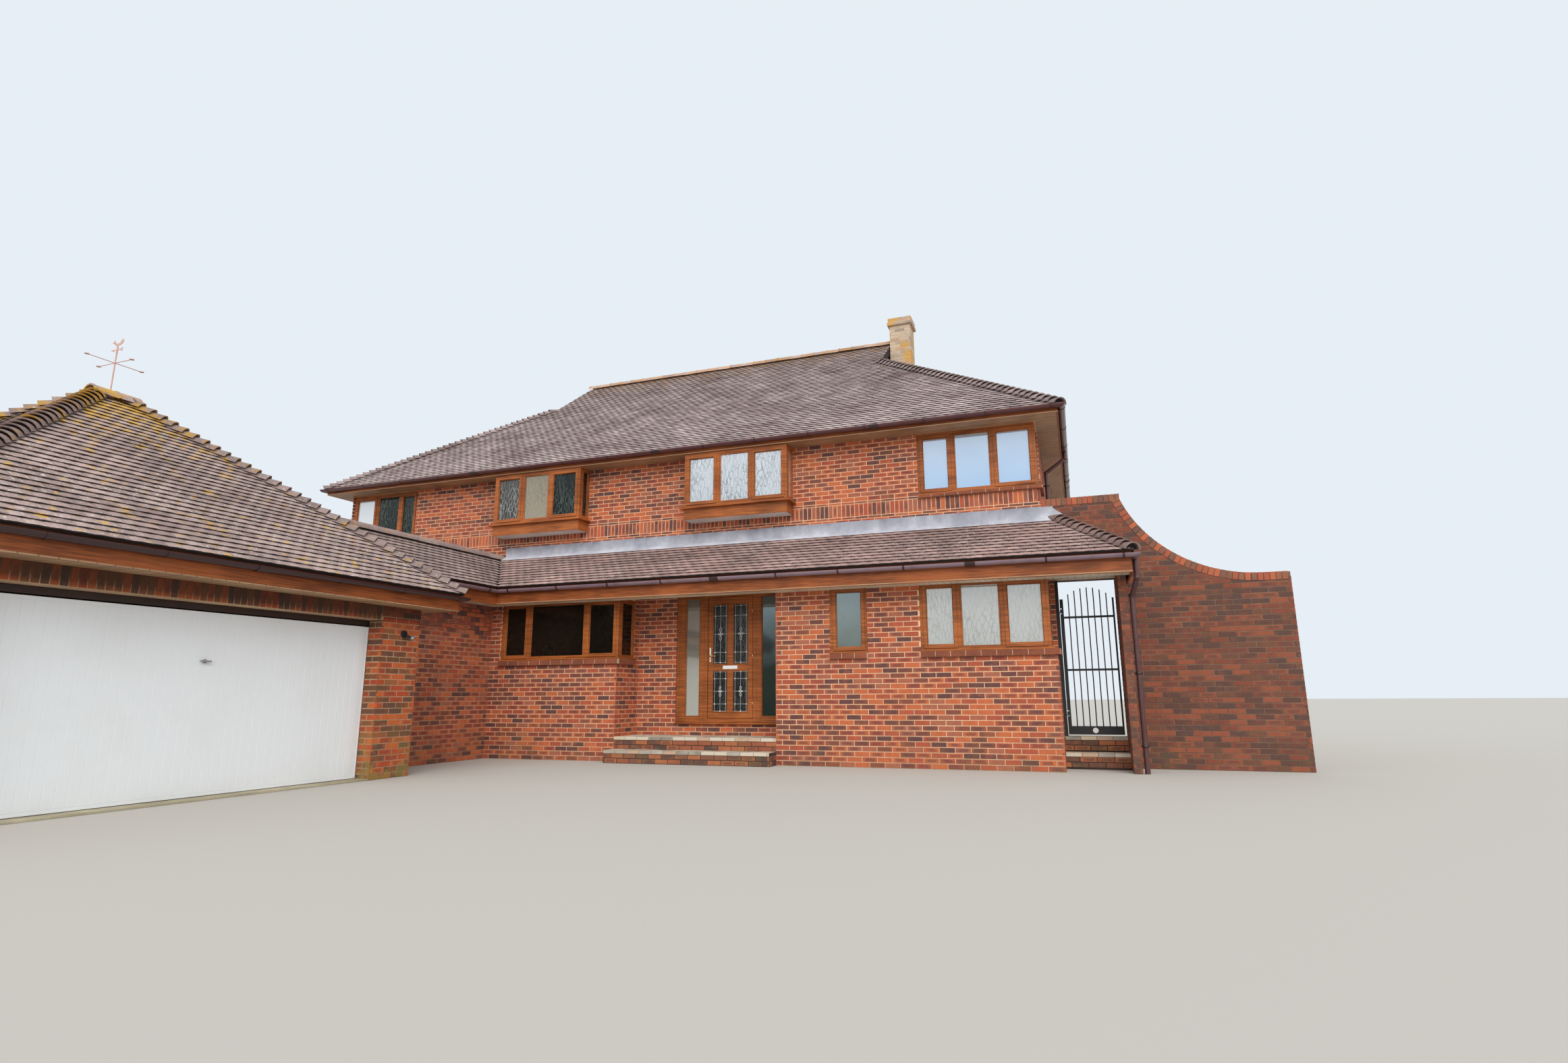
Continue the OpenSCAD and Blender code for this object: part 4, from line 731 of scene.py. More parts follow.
def bonnet_unit() -> bpy.types.Object:
    """Return one bonnet tile in metres, arched over the hip, its open tail at y = 0 with a hollow darkened by
    painted shade over the recessed mortar.
    """
    verts: list[Point] = []
    steps = 8
    for y, radius, lift in ((0.0, 0.132, -0.040), (0.24, 0.095, -0.082), (0.0, 0.132, -0.040),
                            (0.004, 0.118, -0.042), (0.05, 0.1, -0.05)):
        for i in range(steps + 1):
            t = math.radians(-76 + 152 * i / steps)
            verts.append((radius * math.sin(t), y, radius * math.cos(t) + lift))
    verts.append((0.0, 0.05, -0.04))
    n = steps + 1
    faces: list[tuple[int, ...]] = []
    for i in range(steps):
        faces.append((i, i + 1, n + i + 1, n + i))
        faces.append((3 * n + i, 3 * n + i + 1, 2 * n + i + 1, 2 * n + i))
        faces.append((4 * n + i, 4 * n + i + 1, 3 * n + i + 1, 3 * n + i))
        faces.append((5 * n, 4 * n + i + 1, 4 * n + i))
    # The edge value darkens the outer surface by a third and the hollow fully, as painted shade over the
    # recessed mortar.
    shades = [0.33] * (2 * n) + [0.05] * (2 * n) + [1.0] * (n + 1)
    return unit_mesh("bonnet_unit", verts, faces, "edge", shades)


def ridge_unit() -> bpy.types.Object:
    """Return one half-round ridge tile of unit length along X, its ends a little proud."""
    verts: list[Point] = []
    steps = 8
    rings = ((-0.5, 0.105), (-0.5, 0.125), (-0.42, 0.125), (-0.42, 0.118), (0.49, 0.118), (0.49, 0.105))
    for x, radius in rings:
        for i in range(steps + 1):
            t = math.radians(-84 + 168 * i / steps)
            verts.append((x, radius * math.sin(t), radius * math.cos(t) - 0.05))
    n = steps + 1
    faces = [(k * n + i, (k + 1) * n + i, (k + 1) * n + i + 1, k * n + i + 1)
             for k in range(len(rings) - 1) for i in range(steps)]
    return unit_mesh("ridge_unit", verts, faces)


# Geometry Nodes


class UnitTree(Network):
    """A Geometry Nodes tree that lays a unit at places, with named inputs."""

    def __init__(self, name: str, inputs: dict[str, str]) -> None:
        """Start a tree.

        Args:
            name: The tree's name.
            inputs: The socket kind of each input between the unit and its finish.
        """
        super().__init__(bpy.data.node_groups.new(name, "GeometryNodeTree"))
        for label, kind in {"Places": "Geometry", "Unit": "Object", **inputs, "Finish": "Material"}.items():
            self.tree.interface.new_socket(name=label, in_out="INPUT", socket_type=f"NodeSocket{kind}")
        self.tree.interface.new_socket(name="Laid", in_out="OUTPUT", socket_type="NodeSocketGeometry")
        self.given = self.tree.nodes.new("NodeGroupInput").outputs
        self.unit = self.node("GeometryNodeObjectInfo", {"Object": self.given["Unit"]}, "Geometry")

    def carried(self, name: str, kind: str) -> Socket:
        """Return a value that each place carries."""
        return self.node("GeometryNodeInputNamedAttribute", {"Name": name}, "Attribute", data_type=kind)

    def coat(self, laid: Socket) -> Tree:
        """Realize the laid units, give them their finish and return the tree."""
        solid = self.node("GeometryNodeRealizeInstances", {"Geometry": laid}, "Geometry")
        feeds = {"Geometry": solid, "Material": self.given["Finish"]}
        self.feed(self.tree.nodes.new("NodeGroupOutput"),
                  {"Laid": self.node("GeometryNodeSetMaterial", feeds, "Geometry")})
        return self.tree


def laying_tree() -> Tree:
    """Return the tree that lays a unit at each place, sized, turned, tilted a little and toned.

    Each place carries its size, its turn and its unit's number. Every unit gets a tone from 0 to 1 that
    its finish reads, the same for all pieces cut from one unit.
    """
    net = UnitTree("lay_units", {"Tilt": "Float", "Seed": "Int"})
    seed = net.given["Seed"]
    limits = {0: (-1, -1, -1), 1: (1, 1, 1), "Seed": seed}
    sway = net.node("FunctionNodeRandomValue", limits, data_type="FLOAT_VECTOR")
    sway = net.node("ShaderNodeVectorMath", {0: sway, "Scale": net.given["Tilt"]}, operation="SCALE")
    turn = net.node("ShaderNodeVectorMath", {0: net.carried("turn", "FLOAT_VECTOR"), 1: sway},
                    operation="ADD")
    laid = net.node("GeometryNodeInstanceOnPoints", {
        "Points": net.given["Places"], "Instance": net.unit, "Scale": net.carried("size", "FLOAT_VECTOR"),
        "Rotation": net.node("FunctionNodeEulerToRotation", {0: turn})}, "Instances")
    number = net.carried("unit", "INT")
    tone = net.node("FunctionNodeRandomValue", {"ID": number, "Seed": seed}, 1, data_type="FLOAT")
    return net.coat(net.node("GeometryNodeStoreNamedAttribute",
                             {"Geometry": laid, "Name": "tone", "Value": tone},
                             "Geometry", data_type="FLOAT", domain="INSTANCE"))


def spacing_tree() -> Tree:
    """Return the tree that repeats a unit along lines at an even spacing, turned with each line."""
    net = UnitTree("space_units", {"Spacing": "Float"})
    line = net.node("GeometryNodeMeshToCurve", {"Mesh": net.given["Places"]}, "Curve")
    even = net.node("GeometryNodeResampleCurve", {"Curve": line, "Length": net.given["Spacing"]}, "Curve",
                    mode="LENGTH")
    way = net.node("GeometryNodeInputTangent", {}, "Tangent")
    turn = net.node("FunctionNodeAlignRotationToVector", {"Vector": way}, "Rotation", axis="X",
                    pivot_axis="Z")
    feeds = {"Points": even, "Instance": net.unit, "Rotation": turn}
    return net.coat(net.node("GeometryNodeInstanceOnPoints", feeds, "Instances"))


def run_tree(name: str, places: bpy.types.Mesh, tree: Tree,
             values: dict[str, object]) -> bpy.types.Mesh:
    """Run a tree on a mesh of places and return the plain mesh that it makes.

    Args:
        name: The new mesh's name.
        places: Points or lines that the tree works on.
        tree: The tree to run.
        values: The value of each named input.

    Returns:
        The realized mesh, without the places' own size and turn.
    """
    carrier = bpy.data.objects.new(name + "_places", places)
    bpy.context.scene.collection.objects.link(carrier)
    modifier = carrier.modifiers.new("lay", "NODES")
    modifier.node_group = tree
    for item in tree.interface.items_tree:
        if item.in_out == "INPUT" and item.name in values:
            modifier[item.identifier] = values[item.name]
    graph = bpy.context.evaluated_depsgraph_get()
    mesh = bpy.data.meshes.new_from_object(carrier.evaluated_get(graph), preserve_all_data_layers=True,
                                           depsgraph=graph)
    mesh.name = name
    carrier.modifiers.remove(modifier)
    bpy.data.objects.remove(carrier)
    for extra in ("size", "turn", "unit"):
        if extra in mesh.attributes:
            mesh.attributes.remove(mesh.attributes[extra])
    return mesh


@dataclass
class Places:
    """A list of places for units, each with a size, a turn and a number."""

    points: list[Point] = field(default_factory=list)
    sizes: list[Point] = field(default_factory=list)
    turns: list[Point] = field(default_factory=list)
    numbers: list[int] = field(default_factory=list)

    def add(self, point: Point, size: Point, turn: Point, same: bool = False) -> None:
        """Add one place in metres and radians, cut from the same unit as the last or from a new one."""
        self.points.append(point)
        self.sizes.append(size)
        self.turns.append(turn)
        last = self.numbers[-1] if self.numbers else 0
        self.numbers.append(last if same else last + 1)

    def lay(self, name: str, tree: Tree, unit: bpy.types.Object, finish: Material,
            seed: int, tilt: float = 0.0) -> bpy.types.Mesh:
        """Lay a unit at every place and return the mesh."""
        mesh = bpy.data.meshes.new(name + "_points")
        mesh.from_pydata(self.points, [], [])
        for label, rows in (("size", self.sizes), ("turn", self.turns)):
            layer = mesh.attributes.new(label, "FLOAT_VECTOR", "POINT")
            layer.data.foreach_set("vector", [value for row in rows for value in row])
        mesh.attributes.new("unit", "INT", "POINT").data.foreach_set("value", self.numbers)
        return run_tree(name, mesh, tree, {"Unit": unit, "Tilt": tilt, "Seed": seed, "Finish": finish})

    def keep(self, name: str, tree: Tree, unit: bpy.types.Object, finish: Material,
             seed: int, tilt: float = 0.0, slot: str = "brick") -> None:
        """Lay a unit at every place, keep the result as a fixed piece and drop the unit."""
        keep_piece(name, self.lay(name, tree, unit, finish, seed, tilt), "root")
        bpy.data.objects.remove(unit)


def spot(start: Span, heading: float, along: float, inward: float = 0.0) -> Span:
    """Return the place at a distance along a line and inwards from it, its heading in degrees."""
    angle = math.radians(heading)
    return (start[0] + math.cos(angle) * along - math.sin(angle) * inward,
            start[1] + math.sin(angle) * along + math.cos(angle) * inward)


# Brickwork


@dataclass
class Face:
    """One face of stretcher bond, seen from outside with its courses running to the right.

    Sizes are in millimetres. Openings are spans along the face and in height. A soldier course stands
    its bricks on end over a span of the face. Wraps tell whether the bond runs past each end to meet the
    next face, limit gives the height that the bricks stay under, and course_z is where courses count from.
    """

    start: Span
    heading: float
    length: float
    low: float
    high: float
    openings: Sequence[tuple[float, float, float, float]] = ()
    soldiers: Sequence[tuple[float, float, float]] = ()
    shift: float = 0.0
    wraps: tuple[bool, bool] = (True, True)
    limit: Callable[[float], float] | None = None
    course_z: float = -1.0


@dataclass
class Brickwork:
    """Bricks of real size on every outer face of the walls."""

    tree: Tree
    palette: Palette
    stretcher: float = 225.0
    course: float = 75.0
    joint: float = 10.0
    proud: float = 3.0
    depth: float = 34.0
    soldier_h: float = 215.0
    shortest: float = 24.0
    lowest: float = 18.0
    thinnest: float = 12.0
    slice_w: float = 14.0
    coping: float = 65.0

    def cuts(self, face: Face, low: float, high: float) -> list[Span]:
        """Return the stretches of a face that a course between two heights can fill."""
        spans = [(0.0, face.length)]
        middle = (low + high) / 2
        for s0, s1, z0, z1 in face.openings:
            if z0 < middle < z1:
                parts = [part for a, b in spans for part in ((a, min(b, s0)), (max(a, s1), b))]
                spans = [(a, b) for a, b in parts if b > a]
        return spans

    def slices(self, face: Face, left: float, right: float, high: float) -> list[tuple[float, float, float]]:
        """Return a brick's span and top, cut in slices where the face's limit crosses it."""
        if face.limit is None or min(face.limit(left), face.limit(right)) >= high:
            return [(left, right, high)]
        count = max(1, math.ceil((right - left) / self.slice_w))
        marks = [left + (right - left) * i / count for i in range(count + 1)]
        return [(a, b, min(high, face.limit(a), face.limit(b))) for a, b in zip(marks, marks[1:])]

    def course_places(self, face: Face, places: Places, low: float, high: float, module: float,
                      offset: float) -> None:
        """Add the bricks of one course.

        Args:
            face: The face being laid.
            places: Where the bricks are added.
            low: The lowest edge of the bricks.
            high: Their highest edge.
            module: The length of a brick with its joint.
            offset: How far the bond is shifted in this course.
        """
        angle, half = math.radians(face.heading), self.joint / 2
        for a, b in self.cuts(face, low, high):
            for j in range(math.floor((a - offset) / module), math.ceil((b - offset) / module)):
                left, right = max(offset + j * module + half, a), min(offset + (j + 1) * module - half, b)
                if a == 0.0 and left - a <= half and face.wraps[0]:
                    left = a - self.proud
                if b == face.length and b - right <= half and face.wraps[1]:
                    right = b + self.proud
                if right - left < self.shortest:
                    continue
                same = False
                for s0, s1, top in self.slices(face, left, right, high):
                    if top - low < self.thinnest:
                        continue
                    x, y = spot(face.start, face.heading, (s0 + s1) / 2, self.depth / 2 - self.proud)
                    places.add((x * MM, y * MM, (low + top) / 2 * MM),
                               ((s1 - s0) * MM, self.depth * MM, (top - low) * MM), (0.0, 0.0, angle), same)
                    same = True

    def face_places(self, face: Face, places: Places) -> None:
        """Add every brick of a face, with its soldier courses."""
        half = self.joint / 2
        reach = self.course / 2 - half
        kept = [(s0, s1, z - reach, z + self.soldier_h + reach) for s0, s1, z in face.soldiers]
        plain = replace(face, openings=[*face.openings, *kept])
        row = math.floor((face.low - face.course_z) / self.course)
        while face.course_z + row * self.course < face.high:
            low = face.course_z + row * self.course + half
            high = low + self.course - self.joint
            low, high = max(low, face.low), min(high, face.high)
            if high - low >= self.lowest:
                offset = face.shift + (self.stretcher / 2 if row % 2 else 0.0)
                self.course_places(plain, places, low, high, self.stretcher, offset)
            row += 1
        for band in sorted({z for _, _, z in face.soldiers}):
            spans = [(s0, s1) for s0, s1, z in face.soldiers if z == band]
            gaps = [(a, b, 0, 1e5) for a, b in ((0.0, spans[0][0]), (spans[-1][1], face.length)) if b > a]
            layer = replace(face, openings=[*face.openings, *gaps], limit=None)
            high = min(band + self.soldier_h - half, face.high)
            self.course_places(layer, places, band + half, high, self.course, face.shift)
            for low, top in self.splits(face, band):
                self.course_places(layer, places, low, top, self.stretcher, face.shift)

    def splits(self, face: Face, band: float) -> list[Span]:
        """Return the heights of the cut bricks that fill up to the courses round a soldier course."""
        half, head = self.joint / 2, band + self.soldier_h
        under = face.course_z + math.floor((band - face.course_z) / self.course) * self.course
        over = face.course_z + math.ceil((head - face.course_z) / self.course) * self.course
        heights = ((max(under + half, face.low), band - half), (head + half, min(over - half, face.high)))
        return [(low, high) for low, high in heights if high - low >= self.lowest]

    def wall(self, name: str, faces: Sequence[Face], seed: int, finish: str = "brick") -> None:
        """Lay the bricks of several faces as one piece."""
        places = Places()
        for face in faces:
            self.face_places(face, places)
        slot = finish if finish in ("stack_brick", "step_brick") else "brick"
        places.keep(name, self.tree, brick_unit(), self.palette[finish], seed, 0.004, slot)

    def ramp_top(self, s: float) -> float:
        """Return the height of the screen wall's brickwork at a distance along its front."""
        x = SIDE + s
        if x > RAMP_CENTRE[0]:
            return SCREEN_LOW_TOP - self.coping
        if x < RAMP_START:
            return SCREEN_TOP - self.coping
        fall = math.sqrt(max(RAMP_RADIUS ** 2 - (RAMP_CENTRE[0] - x) ** 2, 0.0))
        return RAMP_CENTRE[1] - fall - self.coping

    def build(self) -> None:
        """Lay every wall."""
        self.front()
        self.upper_front()
        self.sides()
        self.garage()
        self.screen()
        self.steps()
        self.stack()

    def front(self) -> None:
        """Lay the ground storey's two front walls, their returns and the porch's back wall."""
        half, low, deep = self.stretcher / 2, (LOW_SILL, LOW_HEAD), PORCH_BACK - LOW_FRONT
        self.wall("front_bricks", (
            Face((PORCH_RIGHT, LOW_FRONT), 0, BAY_RIGHT - PORCH_RIGHT, 0, LOW_SOFFIT,
                 ((2261, 4152, *low), (877, 1464, *low)), shift=102),
            Face((PORCH_RIGHT, PORCH_BACK), -90, deep, PORCH_FLOOR, 2774, wraps=(False, True), shift=40),
            Face((BAY_RIGHT, LOW_FRONT), 90, FRONT - LOW_FRONT, 0, 2700, ((0, 600, *low),), shift=half),
            Face((7031, 450), 0, 70, *low, wraps=(False, False)),
            Face((LINK_RIGHT, LOW_FRONT), 0, PORCH_LEFT - LINK_RIGHT, 0, LOW_SOFFIT, ((210, 2580, *low),),
                 shift=105),
            Face((PORCH_LEFT, LOW_FRONT), 90, deep, PORCH_FLOOR, 2774, ((0, 560, *low),), shift=half,
                 wraps=(True, False)),
            Face((PORCH_LEFT, PORCH_BACK), 0, PORCH_RIGHT - PORCH_LEFT, PORCH_FLOOR, DOOR_HEAD,
                 ((740, 2734, 573, DOOR_HEAD),), wraps=(False, False)),
        ), 11)

    def upper_front(self) -> None:
        """Lay the upper storey's front with its soldier course, behind the lean-to's roof and the oriels."""
        width, high = 2 * SIDE, (HIGH_SILL, SOFFIT)
        oriels = [(x + SIDE - ORIEL_REACH, x + SIDE + ORIEL_REACH, 4054, SOFFIT) for x in ORIELS]
        self.wall("upper_front_bricks", (
            Face((-SIDE, FRONT), 0, width, 3024, SOFFIT,
                 ((24, 1736, *high), (12095, width, *high), *oriels, (4046, width, 3024, 3826)),
                 ((0, width, 3944),)),
            Face((-SIDE, FRONT), 0, LINK_LEFT + SIDE, 0, 3024, wraps=(True, False)),
        ), 12)

    def sides(self) -> None:
        """Lay both sides and the back of the two-storey block."""
        deep, half, high = BACK - FRONT, self.stretcher / 2, (HIGH_SILL, SOFFIT)
        lower, upper = (4283, 5483, LOW_SILL, LOW_HEAD), ((3383, 4583, *high), (6283, 7483, *high))
        corner, joins = (0, 600, *high), 2699
        self.wall("right_bricks", (
            Face((SIDE, FRONT), 90, deep, joins, SOFFIT, (corner, lower, *upper, (0, 215, 0, SCREEN_TOP)),
                 ((0, 700, 3944),), shift=half),
            Face((SIDE, FRONT), 90, deep, 0, joins, (lower, (0, 215, 0, joins)), shift=half,
                 wraps=(False, True)),
        ), 13)
        flip = [(deep - b, deep - a, low, top) for a, b, low, top in (lower, *upper, corner)]
        self.wall("left_bricks", (Face((-SIDE, BACK), -90, deep, 0, SOFFIT, flip, shift=half),), 14)
        storeys = ((BACK_WINDOWS[::3], (LOW_SILL, LOW_HEAD)), (BACK_WINDOWS, high))
        holes = [(SIDE - x - w / 2, SIDE - x + w / 2, *z) for windows, z in storeys for x, w in windows]
        patio = (5789, 8189, 660, DOOR_HEAD)
        self.wall("back_bricks", (Face((SIDE, BACK), 180, 2 * SIDE, 0, SOFFIT, (*holes, patio)),), 15)

    def garage(self) -> None:
        """Lay the garage with the soldier course over its door, and the link."""
        half, top, head, reveal = self.stretcher / 2, GARAGE_SOFFIT, 2048, 212
        deep, door = GARAGE_BACK - GARAGE_FRONT, (542, 4825)
        self.wall("garage_bricks", (
            Face((GARAGE_RIGHT, GARAGE_FRONT), 90, deep, 0, top, ((*door, 0, head),), ((*door, head),)),
            Face((GARAGE_RIGHT, GARAGE_BACK), 180, GARAGE_RIGHT - LINK_RIGHT, 0, top, shift=half,
                 wraps=(True, False)),
            Face((LINK_LEFT, GARAGE_BACK), 180, LINK_LEFT - GARAGE_LEFT, 0, top, wraps=(False, True)),
            Face((GARAGE_LEFT, GARAGE_BACK), -90, deep, 0, top, shift=half),
            Face((GARAGE_LEFT, GARAGE_FRONT), 0, GARAGE_RIGHT - GARAGE_LEFT, 0, top, shift=half),
            Face((GARAGE_RIGHT - reveal, -3718), 0, reveal, 0, head, shift=100, wraps=(False, True)),
            Face((GARAGE_RIGHT, -8005), 180, reveal, 0, head, shift=100, wraps=(True, False)),
        ), 16, "garage_brick")
        self.wall("link_bricks", (
            Face((LINK_RIGHT, GARAGE_BACK), 90, LOW_FRONT - GARAGE_BACK, 0, LOW_SOFFIT, wraps=(False, False)),
            Face((LINK_LEFT, FRONT), -90, FRONT - GARAGE_BACK, 0, LOW_SOFFIT, wraps=(False, False)),
        ), 17)

    def screen(self) -> None:
        """Lay the screen wall with its ramp, over the gateway and down the gate's pier."""
        half, width, top, gate = self.stretcher / 2, SCREEN_END - SIDE, 2834, GATE_RIGHT - SIDE
        self.wall("screen_bricks", (
            Face((SIDE, FRONT), 0, width, 0, SCREEN_TOP, ((0, gate, 0, 2704),), limit=self.ramp_top,
                 wraps=(False, True)),
            Face((SCREEN_END, SCREEN_BACK), 180, width, 0, SCREEN_TOP, ((width - gate, width, 0, 2704),),
                 limit=lambda s: self.ramp_top(width - s), wraps=(True, False)),
            Face((SCREEN_END, FRONT), 90, SCREEN_BACK - FRONT, 0, SCREEN_LOW_TOP - self.coping, shift=half),
            Face((GATE_RIGHT, SCREEN_BACK), -90, SCREEN_BACK - LOW_FRONT, 0, top),
            Face((GATE_RIGHT + 102, LOW_FRONT), 90, FRONT - LOW_FRONT, 0, top, shift=half,
                 wraps=(True, False)),
            Face((GATE_RIGHT, LOW_FRONT), 0, 102, 0, top),
        ), 18, "screen_brick")

    def steps(self) -> None:
        """Lay the risers of the porch's and the gate's steps."""
        wide, gate, ends = PORCH_RIGHT - PORCH_LEFT, 848, (False, False)
        self.wall("step_bricks", (
            Face((PORCH_LEFT, -150), 0, wide, 195, 343, shift=60, wraps=ends, course_z=45),
            Face((PORCH_LEFT, -450), 0, wide, 0, 148, shift=20, course_z=1),
            Face((PORCH_LEFT, -151), -90, 299, 0, 148, wraps=(False, True), course_z=1),
            Face((PORCH_RIGHT, -450), 90, 299, 0, 148, shift=self.stretcher / 2, wraps=(True, False),
                 course_z=1),
            Face((BAY_RIGHT, 717), 0, gate, 214, 381, wraps=ends, course_z=8),
            Face((BAY_RIGHT, 417), 0, gate, 0, 167, shift=70, wraps=ends, course_z=20),
        ), 20, "step_brick")

    def stack(self) -> None:
        """Lay the chimney stack and its two oversailing tiers."""
        tiers = ((0, 7400, 9239), (46, 9239, 9314), (29, 9314, 9411))
        self.wall("stack_bricks", [face for tier in tiers for face in self.tier(*tier)], 19, "stack_brick")

    def tier(self, out: float, low: float, high: float) -> list[Face]:
        """Return the four faces of the stack between two heights, at a distance out from its shaft."""
        (x0, x1), (y0, y1), half = STACK_X, STACK_Y, self.stretcher / 2
        wide, deep = x1 - x0 + 2 * out, y1 - y0 + 2 * out
        return [Face((x0 - out, y0 - out), 0, wide, low, high),
                Face((x1 + out, y0 - out), 90, deep, low, high, shift=half),
                Face((x1 + out, y1 + out), 180, wide, low, high),
                Face((x0 - out, y1 + out), -90, deep, low, high, shift=half)]


# Roofs


@dataclass
class Slope:
    """One roof slope: its eave's start, the way the eave runs, its rise and the ends of each course.

    The ends are distances along the eave for a plan distance inwards from it, in millimetres.
    """

    start: Span
    heading: float
    rise: float
    edge_z: float
    run: float
    ends: Callable[[float], Span]
    skip: Callable[[float, float], bool] | None = None
    gauge: float = 112.0


@dataclass
class Roofing:
    """Plain tiles on every slope, bonnets on the hips and half-round tiles on the ridges."""

    tree: Tree
    palette: Palette
    tile_w: float = 165.0
    lap: float = 16.0
    tile_h: float = 24.0
    gap: float = 3.0
    narrowest: float = 30.0
    main_edge: float = 5344.0
    main_rise: float = 0.74
    low_edge: float = 2909.0
    link_rise: float = 0.749
    garage_edge: float = 2484.0
    garage_rise: float = 0.767

    def slope_places(self, slope: Slope, places: Places) -> None:
        """Add the tiles of one slope, course by course from the eave."""
        pitch, angle = math.atan(slope.rise), math.radians(slope.heading)
        step = slope.gauge * math.cos(pitch)
        u, row = -10.0, 0
        while u + step * 0.6 < slope.run:
            s0, s1 = slope.ends(u + step / 2)
            q = self.tile_w * (math.floor(s0 / self.tile_w) - (0.5 if row % 2 else 0.0))
            while q < s1:
                left, right = max(q, s0), min(q + self.tile_w, s1)
                s = (left + right) / 2
                q += self.tile_w
                if right - left < self.narrowest or (slope.skip and slope.skip(s, u + step / 2)):
                    continue
                x, y = spot(slope.start, slope.heading, s, u)
                size = ((right - left - self.gap) * MM, (slope.gauge + self.lap) * MM, self.tile_h * MM)
                places.add((x * MM, y * MM, (slope.edge_z + slope.rise * u) * MM), size, (pitch, 0.0, angle))
            u += step
            row += 1

    def slopes(self, name: str, finish: str, seed: int, slopes: Sequence[Slope]) -> None:
        """Tile several slopes as one piece."""
        places = Places()
        for slope in slopes:
            self.slope_places(slope, places)
        places.keep(name, self.tree, tile_unit(), self.palette[finish], seed, 0.012, "roof_tile")

    def line_units(self, name: str, unit: bpy.types.Object, finish: str, seed: int,
                   lines: Sequence[tuple[Point, Point, int, Point]], lengthwise: bool) -> None:
        """Lay bonnets or ridge tiles along straight lines.

        Args:
            name: The piece's name.
            unit: The tile that is laid.
            finish: Its finish.
            seed: The seed of its tones.
            lines: Start, end, count and size of each line's tiles.
            lengthwise: True where the unit's own X runs along the line, False where its Y does.
        """
        places = Places()
        for start, end, count, size in lines:
            a, b = Vector(start), Vector(end)
            way = (b - a).normalized()
            side = way.cross(Vector((0, 0, 1))).normalized()
            up = side.cross(way)
            axes = (way, -side, up) if lengthwise else (side, way, up)
            turn = Matrix(axes).transposed().to_euler()
            for i in range(count):
                p = a.lerp(b, (i + (0.5 if lengthwise else 0.0)) / count)
                places.add(tuple(p * MM), size, tuple(turn))
        places.keep(name, self.tree, unit, self.palette[finish], seed, 0.02, "roof_tile")

    def hips(self, name: str, finish: str, seed: int, hips: Sequence[tuple[Point, Point, int]]) -> None:
        """Lay bonnets up hips given as start, end and number of courses."""
        self.line_units(name, bonnet_unit(), finish, seed, [(a, b, n, (1, 1, 1)) for a, b, n in hips], False)

    def ridges(self, name: str, finish: str, seed: int, ridges: Sequence[tuple[Point, Point, int]]) -> None:
        """Lay half-round tiles along ridges given as start, end and count."""
        lines = [(a, b, n, ((Vector(b) - Vector(a)).length / n * MM * 1.02, 1, 1)) for a, b, n in ridges]
        self.line_units(name, ridge_unit(), finish, seed, lines, True)

    def main(self) -> None:
        """Tile the main roof."""
        edge, rise, over, bonnet_lift = self.main_edge, self.main_rise, 395, 14
        end_x, front, back, gablet = SIDE + over, FRONT - over, BACK + over, 3585
        length, run, (ridge_left, ridge_right) = back - front, 4782, (-4099, 3849)

        def long_ends(left: float, right: float) -> Callable[[float], Span]:
            """Return the ends of a long slope's courses, with its two verges."""
            return lambda u: (min(u, end_x + left), 2 * end_x - min(u, end_x - right))

        def in_stack(s: float, u: float) -> bool:
            """Tell whether a tile of the right end slope meets the stack."""
            return 4477 < s < 5088 and STACK_X[0] - 10 < end_x - u < STACK_X[1] + 90

        self.slopes("main_tiles_front", "main_tile", 31, (
            Slope((-end_x, front), 0, rise, edge, run, long_ends(ridge_left, ridge_right)),))
        self.slopes("main_tiles_back", "main_tile", 32, (
            Slope((end_x, back), 180, rise, edge, run, long_ends(-ridge_right, -ridge_left)),))
        self.slopes("main_tiles_ends", "main_tile", 33, (
            Slope((end_x, front), 90, rise, edge, gablet, lambda u: (u, length - u), in_stack),
            Slope((-end_x, back), -90, rise, edge, gablet, lambda u: (u, length - u))))
        hips = []
        for side, reach in ((1, end_x - ridge_right), (-1, end_x + ridge_left)):
            for y0, y1 in ((front, front + reach), (back, back - reach)):
                hips.append(((side * end_x, y0, edge + bonnet_lift),
                             (side * (end_x - reach), y1, edge + rise * reach + bonnet_lift), 39))
        self.hips("main_bonnets", "main_tile", 34, hips)
        top = edge + rise * length / 2 + 20
        self.ridges("main_ridge_tiles", "main_tile", 35, (
            ((ridge_left, RIDGE_Y, top), (ridge_right, RIDGE_Y, top), 26),))

    def low(self) -> None:
        """Tile the lean-to and the link."""
        edge, rise, eave, left, right = self.low_edge, 0.604, -550, -2054, 8151
        front_run, end_run, valley_run, valley_out = 1267, 990, 1234, 995
        self.slopes("leanto_tiles", "leanto_tile", 41, (
            Slope((left, eave), 0, rise, edge, 1150,
                  lambda u: (-valley_out * u / valley_run,
                             right - left - end_run * u / front_run), gauge=121),
            Slope((right, eave), 90, 0.773, edge, 985, lambda u: (front_run * u / end_run, front_run),
                  gauge=112)))
        self.hips("leanto_bonnets", "leanto_tile", 42, (
            ((right, eave, edge + 14), (7190, 680, edge + 14 + rise * 1230), 13),))

        def cut(u: float) -> float:
            """Return how far the link's course runs on over the garage's rear slope."""
            return (edge + self.link_rise * u - self.garage_edge) / self.garage_rise

        self.slopes("link_tiles", "link_tile", 43, (
            Slope((left, -2660), 90, self.link_rise, edge, 990,
                  lambda u: (-cut(u), 2110 + valley_run * u / valley_out), gauge=106),
            Slope((-4044, FRONT), -90, self.link_rise, edge, 990, lambda u: (0, 3377 + cut(u)), gauge=106)))
        self.ridges("link_ridge_tiles", "link_tile", 44, (((-3049, -4150, 3664), (-3049, 700, 3664), 11),))

